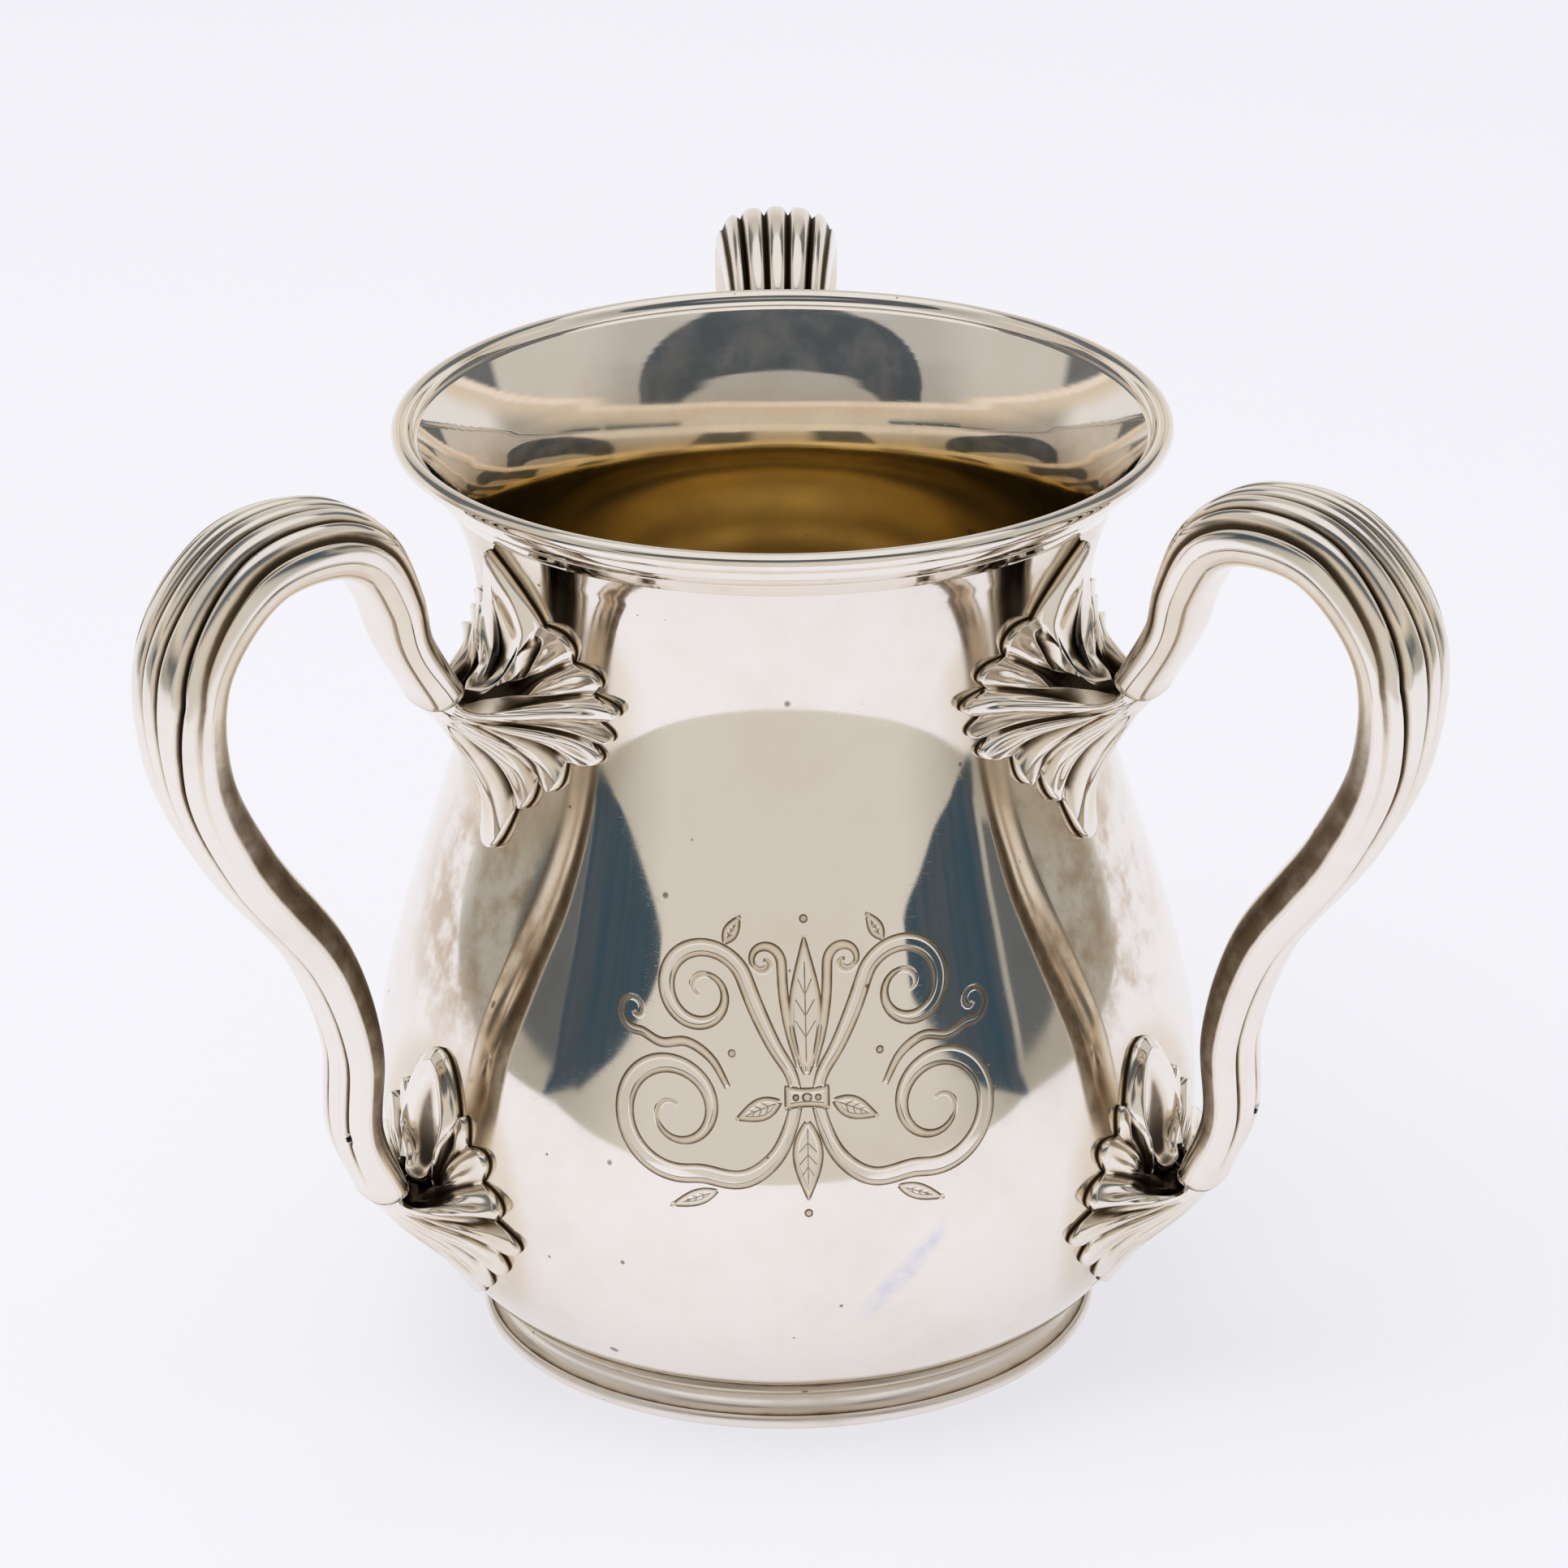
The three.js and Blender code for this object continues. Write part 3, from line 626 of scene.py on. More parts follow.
def handle_half(ring_of):
    """One half of a hollow handle as a closed sheet, with its grooves marked."""
    s = sizes()
    count = HANDLE_STEPS
    centre, _, outward, width, depth = handle_stations()
    place = np.linspace(0, 1, count)
    # At both ends the reeds fade into a plain section, and tarnish gathers by the leaves
    plain = 1 - smoothstep(0.0, 0.06, place) * (1 - smoothstep(0.93, 0.995, place))
    ends = 0.3 * (1 - smoothstep(0, 0.03, place)) + 0.2 * smoothstep(0.98, 1, place)
    rings, marks = [], []
    for i in range(count):
        outer, dark, seam = ring_of(width[i], depth[i], plain[i], section_at(place[i]))
        shrink = 1 - 2 * s.wall / width[i]
        inner = outer[::-1] * shrink
        inner[:, 1] += seam * (1 - shrink)
        ring = np.vstack([outer, inner])
        rings.append(centre[i] + ring[:, :1] * np.array([0, 1, 0]) + ring[:, 1:] * outward[i])
        marks.append(np.concatenate([np.maximum(dark, ends[i]), np.ones(len(inner))]))
    points = np.array(rings)
    columns = points.shape[1]
    faces = grid_faces(count, columns, close_columns=True)
    half = columns // 2
    for i in (0, count - 1):
        # The open ends are closed between the outer and the inner line
        for k in range(half - 1):
            a, b = i * columns + k, i * columns + k + 1
            c, d = i * columns + columns - 2 - k, i * columns + columns - 1 - k
            faces.append((a, b, c, d) if i == 0 else (d, c, b, a))
    points, marks = points.reshape(-1, 3), np.array(marks).ravel()
    if ring_of is reeded_ring:
        return air_hole(points, faces, marks, columns)
    return points, faces, marks


def air_hole(points, faces, marks, columns):
    """Makes the small air hole that lies in the groove between the second and third reed."""
    reach = 8  # steps cut out on either side of the hole
    hole_depth = 0.0009
    row = round(0.93 * (HANDLE_STEPS - 1))
    # The rings run from the +Y side, so that groove is the second corner between reeds
    middle = 2 * STEPS_PER_REED
    first_row, last_row, low, high = row - 1, row + 1, middle - reach, middle + reach
    ring = [first_row * columns + k for k in range(low, high)]
    ring += [r * columns + high for r in range(first_row, last_row)]
    ring += [last_row * columns + k for k in range(high, low, -1)]
    ring += [r * columns + low for r in range(last_row, first_row, -1)]
    cut_out = {r * columns + k for r in range(first_row, last_row) for k in range(low, high)}
    kept = [face for face in faces if face[0] not in cut_out]
    centre = points[row * columns + middle]
    rim = points[ring] - centre
    first = points[last_row * columns + middle] - points[first_row * columns + middle]
    first /= np.linalg.norm(first)
    second = points[row * columns + middle + 3] - points[row * columns + middle - 3]
    second -= first * (second @ first)
    second /= np.linalg.norm(second)
    inward = np.cross(first, second)
    if inward[1] > 0:
        inward = -inward
    turn = np.arctan2(rim @ second, rim @ first)
    circle = np.cos(turn)[:, None] * first + np.sin(turn)[:, None] * second
    start, size = len(points), len(ring)
    added, dark, loops = [], [], [ring]
    # Radius as a share of the hole's, depth and darkness of each ring down the hole. The darkness
    # is painted shade, deepest at the bottom.
    for wide, deep, shade in ((1.25, 0.0, 0.5), (1.0, 0.00015, 0.9), (0.95, hole_depth, 1.0)):
        loops.append([start + len(added) * size + k for k in range(size)])
        added.append(centre + circle * sizes().vent_radius * wide + inward * deep)
        dark.append(np.full(size, shade))
    for outer, inner in zip(loops[:-1], loops[1:]):
        for k in range(size):
            after = (k + 1) % size
            kept.append((outer[k], outer[after], inner[after], inner[k]))
    bottom = start + len(added) * size
    kept += [(loops[-1][k], loops[-1][(k + 1) % size], bottom) for k in range(size)]
    points = np.vstack([points, *added, centre + inward * hole_depth])
    marks = np.concatenate([marks, *dark, [1.0]])
    used = np.unique(np.concatenate(kept))
    renumbered = np.full(len(points), -1)
    renumbered[used] = np.arange(len(used))
    return points[used], [tuple(int(renumbered[v]) for v in face) for face in kept], marks[used]


def lobed_edge(tips, petal, size, per_lobe):
    """Edge of a leaf all the way round, and where each point lies in its lobe, from -1 to 1.

    The petal's line runs from the top to the first dip, and the tips follow from there.
    """
    tips = np.array(tips) * size
    petal_line = evened(catmull_rom(np.array(petal) * size, 12), 44)
    dips = (tips[:-1] + tips[1:]) / 2 * 0.84
    # The lowest lobe is wider than a plain middle between the tips would leave it
    dips[-1, 0] *= 1.5
    before = np.vstack([petal_line[-1:], dips])
    after = np.vstack([dips, dips[-1:] * MIRROR])
    edge, place = [petal_line[:-1]], [np.linspace(0, 1, len(petal_line))[:-1]]
    t = np.linspace(0, 1, per_lobe, endpoint=False)
    u = t[:, None]
    for a, tip, b in zip(before, tips, after):
        # A blunt line and a round one, blended, give a full tip
        steer = 2 * tip - (a + b) / 2
        blunt = a + (b - a) * u + (tip - (a + b) / 2) * (1 - np.abs(2 * u - 1) ** 2.6)
        curve = (1 - u) ** 2 * a + 2 * u * (1 - u) * steer + u**2 * b
        edge.append(blunt * 0.75 + 0.25 * curve)
        place.append(t * 2 - 1)
    # The lowest lobe lies on the middle line, so only half of it is kept
    edge[-1], place[-1] = edge[-1][: per_lobe // 2 + 1], place[-1][: per_lobe // 2 + 1]
    half, at = np.vstack(edge), np.concatenate(place)
    other, other_at = half[1:-1][::-1] * MIRROR, -at[1:-1][::-1]
    return np.vstack([half, other]), np.concatenate([at, other_at])


def hook_distance(hook, x, y):
    """Signed distance in leaf shares from the petal's rim line, negative in its hollow."""
    line = catmull_rom(hook, 8)
    x = np.abs(x)
    best, sign = np.full(x.shape, 9.0), np.ones(x.shape)
    for a, b in zip(line[:-1], line[1:]):
        way = b - a
        t = np.clip(((x - a[0]) * way[0] + (y - a[1]) * way[1]) / (way @ way), 0, 1)
        away_x, away_y = x - a[0] - t * way[0], y - a[1] - t * way[1]
        far = np.hypot(away_x, away_y)
        nearer = far < best
        best = np.where(nearer, far, best)
        sign = np.where(nearer, np.where(way[0] * away_y - way[1] * away_x > 0, 1.0, -1.0), sign)
    return best * sign


def leaf_relief(turn, v, lobe, far, style):
    """Rise of a leaf's carving in millimetres, and its darkness, which is painted shade.

    turn is the angle from the top, v runs from the edge on the body (0) to the handle (1),
    lobe is the place across a lobe from -1 to 1, and far the distance from the petal's rim.
    """
    degrees = np.degrees(np.abs(turn))
    across = np.abs(lobe)
    root = 1 - smoothstep(0.84, 0.985, v)
    # The hollow petal with its curled rim, and the deep gap outside the rim, with painted shade in both
    inside = 1 - smoothstep(-0.03, 0.0, far)
    deep = smoothstep(0.0, 0.14, -far)
    rise = style["rim"] * np.exp(-((far / 0.03) ** 2)) - style["valley"] * deep * inside
    gap_here = smoothstep(0.02, 0.05, far) * (1 - smoothstep(0.085, 0.16, far))
    gap_here = gap_here * smoothstep(0.06, 0.16, v)
    rise -= style["crevice"] * gap_here
    dark = np.maximum(0.95 * gap_here, style["brown_patch_and_hollow_shade"] * inside * smoothstep(0.04, 0.16, -far)
                      * (0.72 + 0.28 * smoothstep(0.2, 0.5, v)))
    # One strong rib runs from the handle's side to the widest lobe
    rib_past = degrees - np.interp(v, (0, 0.5, 1), style["rib_turn"])
    outside = smoothstep(0.07, 0.13, far)
    above = 1 - smoothstep(-15, -5, rib_past)
    # Lobes: full round fingers with a hollow near the tip and fine veins, with painted shade in the
    # gaps, veins and hollow
    fade = 1 - smoothstep(0.42, 0.8, v)
    finger = np.clip(1 - across**2.4, 0, 1) ** 0.6 * fade
    spoon = np.exp(-((across / 0.42) ** 2)) * np.exp(-(((v - 0.16) / 0.11) ** 2))
    veins = np.exp(-((across / 0.09) ** 2)) + np.exp(-(((across - 0.48) / 0.09) ** 2))
    veins *= smoothstep(0.12, 0.3, v) * fade
    gap = across**5 * smoothstep(0.0, 0.08, v) * fade
    rise += outside * (style["lobe"] * (finger - 0.6) - style["hollow"] * spoon - 0.2 * veins)
    dark = np.maximum(dark, outside * np.maximum(0.98 * gap, 0.6 * veins))
    dark = np.maximum(dark, outside * 0.35 * spoon)
    rise += style["rib"] * np.exp(-((rib_past / 5.0) ** 2)) * (1 - smoothstep(0.85, 1, v))
    # Everything above the rib sinks towards the body, with dark brown painted shade below the handle's
    # root
    rise -= style["cavity"] * above * smoothstep(0.18, 0.5, v) * root
    pool = above * outside * smoothstep(0.24, 0.48, v)
    dark = np.maximum(dark, 0.9 * pool * (1 - 0.25 * np.cos(degrees / 7.5) ** 2))
    dark = np.maximum(dark, 0.85 * above * smoothstep(0.5, 0.75, v))
    under = np.exp(-(((rib_past - 10) / 4.0) ** 2)) * (1 - smoothstep(0.7, 0.92, v))
    rise -= 0.6 * under
    dark = np.maximum(dark, 0.6 * under)
    # The lowest lobes part from the others in one long line of painted shade
    split = np.exp(-(((degrees - np.interp(v, (0, 0.6), style["split"])) / 2.6) ** 2))
    split *= 1 - smoothstep(0.6, 0.85, v)
    rise -= 0.7 * split
    dark = np.maximum(dark, 0.85 * split)
    # The painted shade stays off the rib and the petal's rim, which are left light
    dark = dark * (1 - 0.75 * np.exp(-((rib_past / 4.0) ** 2)))
    dark = dark * (1 - 0.8 * np.exp(-((far / 0.022) ** 2)))
    return rise, dark


# Heights in millimetres and painted shade of a leaf's carving, the angles of its main rib and of its
# long line of painted shade, and how far its throat runs along the handle, as a share of its size
UPPER_STYLE = {"rim": 0.9, "valley": 0.7, "crevice": 1.6, "brown_patch_and_hollow_shade": 0.95, "lobe": 1.1, "hollow": 0.6,
               "rib": 1.1, "rib_turn": (87, 90, 92), "cavity": 2.6, "split": (146, 128),
               "throat": 0.2}
LOWER_STYLE = {"rim": 0.9, "valley": 0.8, "crevice": 1.3, "brown_patch_and_hollow_shade": 0.9, "lobe": 1.0, "hollow": 0.5,
               "rib": 1.0, "rib_turn": (84, 92, 94), "cavity": 2.2, "split": (92, 104),
               "throat": 0.16}


def leaf_mesh(tips, petal, hook, style, size, height, end):
    """A leaf terminal that flares from a lobed edge on the body to the handle's end."""
    s = sizes()
    centre, away, outward, width, depth = end
    edge, lobe = lobed_edge(tips, petal, size, 24)
    turn = np.arctan2(edge[:, 0], edge[:, 1])
    upward = outward * (1 if outward[2] > 0 else -1)

    def on_end(back, shrink=1.0):
        up = rounded(np.cos(turn), 0.8)[:, None] * depth / 2 * shrink
        across = rounded(np.sin(turn), 0.8)[:, None] * width / 2 * shrink
        return centre - away * back + upward * up + np.array([0, 1, 0]) * across

    outermost = on_body(edge[:, 0], height + edge[:, 1], s.leaf_edge)
    shoulder = on_body(edge[:, 0] * 0.42, height + edge[:, 1] * 0.42, s.leaf_rise)
    near, far = on_end(s.solder_gap + style["throat"] * size), on_end(0)
    v = np.concatenate([np.linspace(0, 0.2, 16, endpoint=False), np.linspace(0.2, 1, 46)])
    t = v[:, None, None]
    flare = ((1 - t) ** 3 * outermost + 3 * t * (1 - t) ** 2 * shoulder
             + 3 * t * t * (1 - t) * near + t**3 * far)
    side = np.roll(flare, -1, 1) - np.roll(flare, 1, 1)
    normal = np.cross(np.gradient(flare, axis=0), side)
    normal /= np.maximum(np.linalg.norm(normal, axis=2), 1e-12)[..., None]
    if np.sum(normal[10, :, 0]) < 0:
        normal = -normal
    grid_v = np.repeat(v[:, None], len(edge), 1)
    flat = (1 - grid_v)[..., None] * edge / size
    far = hook_distance(hook, flat[..., 0], flat[..., 1])
    rise, dark = leaf_relief(np.broadcast_to(turn, grid_v.shape), grid_v,
                             np.broadcast_to(lobe, grid_v.shape), far, style)
    carved = flare + normal * rise[..., None] * MILLIMETRE
    # The carving never dips under the body's skin
    clear = body_radius(np.clip(carved[..., 2], 0.007, lip_height())) + s.solder_gap
    radius = np.hypot(carved[..., 0], carved[..., 1])
    push = np.maximum(clear / radius, 1)
    carved[..., :2] *= push[..., None]

    # Under the leaf and up its edge: share of the outline, height above the body, darkness. The dark
    # at the foot of the edge is a painted contact shadow where the leaf meets the body.
    reach = np.linalg.norm(edge, axis=1)[:, None]
    swollen = edge * (reach + 0.00022) / reach
    walls, wall_marks = [], []
    for outline, off, shade in ((edge * 0.3, -SINK, 1.0), (edge * 0.65, -SINK, 1.0),
                                (edge, -SINK, 1.0), (swollen, s.leaf_edge * 0.25, 0.85),
                                (swollen, s.leaf_edge * 0.7, 0.1)):
        walls.append(on_body(outline[:, 0], height + outline[:, 1], off))
        wall_marks.append(np.full(len(edge), shade))
    into = on_end(-SINK, 0.97)
    rows = np.concatenate([walls, carved, into[None]])
    marks = np.concatenate([*wall_marks, dark.ravel(), np.zeros(len(edge)), [1.0, 1.0]])
    count, columns = rows.shape[:2]
    faces = grid_faces(count, columns, close_columns=True)
    low_middle, high_middle = count * columns, count * columns + 1
    last = (count - 1) * columns
    for k in range(columns):
        after = (k + 1) % columns
        faces.append((after, k, low_middle))
        faces.append((last + k, last + after, high_middle))
    points = np.vstack([rows.reshape(-1, 3), on_body(0.0, height, -SINK), into.mean(0)])
    return points, faces, marks


# Engraving


def spiral(centre, radius, start, turns, way):
    """A spiral from its middle outwards; start is the outer end's angle in degrees."""
    t = np.linspace(0.06, 1, 60)
    turn = math.radians(start) - way * (1 - t) * turns * 2 * math.pi
    reach = radius * t**0.85
    return np.column_stack([centre[0] + reach * np.cos(turn), centre[1] + reach * np.sin(turn)])


def scroll_strokes():
    """Middle lines of the ornament's ribbons on its right half, with their widths.

    Each is a spiral, from its middle outwards, and a tail that runs to the collar.
    """
    strokes = []
    for scroll, tail, steps, wide in (
        (((22.6, -7.6), 10.9, -112, 1.75, -1),
         ((11.0, -18.6), (5.4, -14.6), (2.6, -8.6), (1.7, -4.6)), 14, 3.1),
        (((17.6, 12.3), 7.9, 152, 1.7, 1), ((8.2, 9.8), (5.2, 3.6), (2.6, -0.6), (1.7, -4.4)), 14, 2.7),
        (((6.9, 17.6), 3.1, 190, 1.35, 1), ((3.6, 12.0), (2.6, 6.0), (1.2, 0.6)), 12, 1.5),
        (((29.6, 8.0), 3.3, 250, 1.3, -1),
         ((24.8, 3.4), (20.4, 4.0), (16.2, 1.6), (13.4, -3.0)), 12, 1.4),
    ):
        curl = spiral(*scroll)
        strokes.append((np.vstack([curl[:-1], catmull_rom([curl[-1], *tail], steps)]), wide))
    return strokes


def across_line(line):
    """Unit vectors to the left of a flat line."""
    along = np.gradient(line, axis=0)
    along /= np.maximum(np.linalg.norm(along, axis=1), 1e-9)[:, None]
    return np.column_stack([-along[:, 1], along[:, 0]])


def ribbon_edges(line, wide):
    """The two edge lines of a ribbon that narrows into its spiral."""
    t = np.linspace(0, 1, len(line))
    taper = 0.12 + 0.88 * smoothstep(0, 0.42, t) * (1 - 0.35 * smoothstep(0.75, 1, t))
    off = across_line(line) * (wide / 2 * taper)[:, None]
    return line + off, line - off


def leaf_lines(base, tip, wide):
    """Outline of a pointed leaf with a midrib and short veins."""
    base, tip = np.array(base, float), np.array(tip, float)
    long = np.linalg.norm(tip - base)
    way = (tip - base) / long
    side = np.array([-way[1], way[0]])
    t = np.linspace(0.03, 0.97, 34)
    swell = np.sin(math.pi * t**0.8) ** 1.15 * wide / 2
    middle = base + way * long * t[:, None]
    lines = [(middle + side * swell[:, None], -1), (middle - side * swell[:, None], 1),
             (middle[3:28], 0)]
    for at in (9, 14, 19):
        for hand in (-1, 1):
            end = middle[at + 4] + side * hand * swell[at + 4] * 0.62
            lines.append((np.linspace(middle[at], end, 6), 0))
    return lines


def mirrored(lines):
    """The lines of the right half on both halves of the field."""
    return [each for line, shaded in lines
            for each in ((line, shaded), (line * MIRROR, -shaded))]


def ribbon_lines():
    """The edges of the scrolls' ribbons, without what lies under a wider ribbon or the collar."""
    strokes = []
    for line, wide in scroll_strokes():
        line = evened(line, max(70, int(len(line) * 1.7)))
        for _ in range(14):
            line[1:-1] = (line[:-2] + 2 * line[1:-1] + line[2:]) / 4
        strokes.append((line, wide))
    lines = []
    for line, wide in strokes:
        clear = np.ones(len(line), bool)
        for other, other_wide in strokes:
            if other_wide > wide:
                far = np.linalg.norm(line[:, None] - other[None], axis=2)
                clear &= far.min(1) >= other_wide / 2
        for edge, shaded in zip(ribbon_edges(line, wide), (-1, 1)):
            collar = (np.abs(edge[:, 0]) < 3.6) & (np.abs(edge[:, 1] + 4.5) < 1.5)
            seen = np.flatnonzero(clear & ~collar & (edge[:, 0] > 0.05))
            for run in np.split(seen, np.flatnonzero(np.diff(seen) > 1) + 1):
                if len(run) > 3:
                    lines.append((edge[run], shaded))
    return lines


def engraved_lines():
    """Every engraved line on the flat field in millimetres, and the side on which it is shaded."""
    lines = mirrored(ribbon_lines())
    for base, tip, wide in (((0, -1.5), (0, 22.5), 5.6), ((0, -8.0), (0, -22.5), 5.0)):
        lines += leaf_lines(base, tip, wide)
    for base, tip, wide in (((4.2, -5.0), (12.4, -8.4), 3.6), ((15.2, -20.6), (24.0, -24.2), 2.6),
                            ((13.6, 20.2), (10.6, 25.2), 2.4)):
        lines += mirrored(leaf_lines(base, tip, wide))
    # The collar in the middle has two bands and two ends
    half = 3.7
    for y, shaded in ((-3.0, -1), (-6.0, 1)):
        x = np.linspace(-half, half, 24)
        lines.append((np.column_stack([x, y - shaded * 0.5 * (x / half) ** 2]), shaded))
    for x, shaded in ((-half, 1), (half, -1)):
        lines.append((np.column_stack([np.full(10, x), np.linspace(-2.6, -6.4, 10)]), shaded))
    # Beads on the collar and round the scrolls
    turn = np.linspace(0, 2 * math.pi, 33)
    for x, y, reach in ((0, -4.5, 0.75), (-1.9, -4.5, 0.45), (1.9, -4.5, 0.45), (0, 24.6, 0.6),
                        (0, -24.4, 0.6), (12.6, 2.6, 0.55), (-12.6, 2.6, 0.55)):
        lines.append((np.column_stack([x + reach * np.cos(turn), y + reach * np.sin(turn)]), 1))
    return lines


DRAWN_WIDTH = 67  # width of the ornament as it is drawn
# Across an engraved line: place in half widths, height above the body, darkness
SHADED_SECTION = ((-1.0, -0.00006, 0.5), (-0.8, 0.00001, 0.66), (0.0, 0.000022, 0.76),
                  (0.9, 0.000028, 0.58), (2.0, 0.00003, 0.42), (3.4, 0.000022, 0.22),
                  (4.6, 0.00001, 0.05), (4.9, -0.00008, 0.0), (2.0, -0.0003, 0.0))
PLAIN_SECTION = ((-0.8, -0.00006, 0.4), (-0.55, 0.00001, 0.55), (0.0, 0.000022, 0.68),
                 (0.55, 0.00001, 0.55), (0.8, -0.00006, 0.4), (0.0, -0.0003, 0.0))


def engraving_mesh(name):
    """The engraved lines as fine seams, dark at the cut and shaded to one side."""
    s = sizes()
    scale = s.scroll_width / DRAWN_WIDTH
    points, faces, marks = [], [], []
    for line, shaded in engraved_lines():
        long = np.linalg.norm(np.diff(line, axis=0), axis=1).sum()
        line = evened(line, max(18, int(long / 0.45))) * scale
        across = across_line(line)
        t = np.linspace(0, 1, len(line))
        swell = 0.6 + 0.4 * smoothstep(0, 0.06, t) * smoothstep(0, 0.06, 1 - t)
        half = (s.scroll_line / 2 * swell)[:, None]
        section = SHADED_SECTION if shaded else PLAIN_SECTION
        hand = shaded or 1
        start = len(points)
        for k in range(len(line)):
            for place, off, dark in section:
                flat = line[k] + across[k] * half[k] * place * hand
                spot = on_body(flat[0], s.scroll_height + flat[1], off)
                points.append(spun_about(spot, s.scroll_turn))
                marks.append(dark)
        count = len(section)
        last = start + (len(line) - 1) * count
        around = grid_faces(len(line), count, close_columns=True, start=start)
        around.append(tuple(start + k for k in range(count))[::-1])
        around.append(tuple(last + k for k in range(count)))
        faces += [face[::-1] for face in around] if hand < 0 else around
    return mesh_of(name, np.array(points), faces, {"tarnish_and_shade": marks})


# Pieces


def make_body():
    """The raised body: polished outside, gold wash inside, open at the bottom."""
    s = sizes()
    low, high = s.foot_height, lip_height()
    heights = np.unique(np.concatenate([np.linspace(low, high, 150),
                                        np.linspace(high - 0.012, high, 14)]))
    outside = offset_line(heights, 0.0)
    outside[0] = (s.foot_join_radius, low)
    outside[-1, 1] = high
    inside = offset_line(heights[::-1], -s.wall)
    inside[0, 1] = high
    inside[-1, 1] = low
    inside[:, 1] = np.clip(inside[:, 1], low, high)
    outline = np.vstack([outside, inside])
    count = len(heights)
    turn = np.linspace(0, 2 * math.pi, s.around, endpoint=False)
    tarnish_and_shade = np.zeros((len(outline), s.around))
    brown_patch_and_hollow_shade = np.zeros((len(outline), s.around))
    upper, lower = joint_heights()
    for side in handle_angles():
        away = (turn - side + math.pi) % (2 * math.pi) - math.pi
        for joint, size in ((upper, s.upper_leaf_drop), (lower, s.lower_leaf_rise)):
            across = away[None] * outline[:count, :1]
            up = outline[:count, 1:] - joint
            near = np.hypot(across / (0.86 * size), up / (0.95 * size))
            tarnish_and_shade[:count] = np.maximum(tarnish_and_shade[:count], 0.42 * (1 - smoothstep(0.9, 1.3, near)))
        # A brown patch lies on the body round each handle, between its leaves
        across, up = away[None] * outline[:count, :1], outline[:count, 1:]
        spread = np.hypot(across / 0.028, (up - 0.090) / 0.030)
        brown_patch_and_hollow_shade[:count] = np.maximum(brown_patch_and_hollow_shade[:count], 1 - smoothstep(0.35, 1.0, spread))
    tarnish_and_shade[0] = 0.4
    gilding = np.zeros(len(outline))
    gilding[count:] = 1 - smoothstep(0.132, 0.169, outline[count:, 1])
    piece = turned("cup_body", outline, {"tarnish_and_shade": tarnish_and_shade, "gilding": gilding, "brown_patch_and_hollow_shade": brown_patch_and_hollow_shade})
    return placed(piece, "body_shell",
                  finish("polished_body_silver", silver_finish, gilt=True, smear=True))


def make_rim():
    """The drawn moulding round the lip: a bead, a groove, a rounded band and a plain band."""
    s = sizes()
    # Millimetres below the top of the bead, rise above the body as a share of the thickness,
    # darkness. It is drawn for a moulding that reaches 9.5 mm down.
    profile = (
        (9.50, 0.05, 1.0), (9.48, 0.45, 0.9), (9.38, 0.60, 0.3), (9.20, 0.66, 0.0),
        (7.90, 0.80, 0.0), (6.95, 0.92, 0.0), (6.80, 0.93, 0.1), (6.72, 0.84, 0.5),
        (6.64, 0.93, 0.1), (6.50, 0.98, 0.0), (6.20, 1.12, 0.0), (5.60, 1.32, 0.0),
        (4.90, 1.42, 0.0), (4.20, 1.34, 0.0), (3.60, 1.12, 0.1), (3.30, 0.98, 0.6),
        (3.15, 0.92, 0.9),
    )
    rows = np.array(profile)
    heights = s.cup_height - rows[:, 0] * s.moulding_drop / rows[0, 0]
    outer = offset_line(heights, rows[:, 1] * s.moulding_thickness)
    turn = np.radians(np.linspace(-118, 160, 42))
    centre = (s.lip_radius - s.bead_radius, s.cup_height - s.bead_radius)
    bead = np.column_stack([centre[0] + s.bead_radius * np.cos(turn),
                            centre[1] + s.bead_radius * np.sin(turn)])
    # The bead runs out smoothly over the body's lip and ends flush with the inside
    inner_lip = np.array((body_lip_radius() - s.wall * 1.02, lip_height() + 0.00003))
    bend = bead[-1] + 0.0006 * np.array((-math.sin(turn[-1]), math.cos(turn[-1])))
    u = np.linspace(0, 1, 9)[1:, None]
    flow = (1 - u) ** 2 * bead[-1] + 2 * u * (1 - u) * bend + u**2 * inner_lip
    seat = offset_line(np.linspace(lip_height(), heights[0], 12), -0.00004)
    outline = np.vstack([outer, bead, flow, seat])
    dark = np.concatenate([rows[:, 2], 0.8 * np.clip(1 - (turn + 2.06) / 0.5, 0, 1),
                           np.zeros(len(flow)), np.ones(len(seat))])
    piece = turned("rim_bead_and_bands", outline, {"tarnish_and_shade": dark})
    return placed(piece, "rim_moulding",
                  finish("polished_trim_silver", silver_finish, patch=0.35))


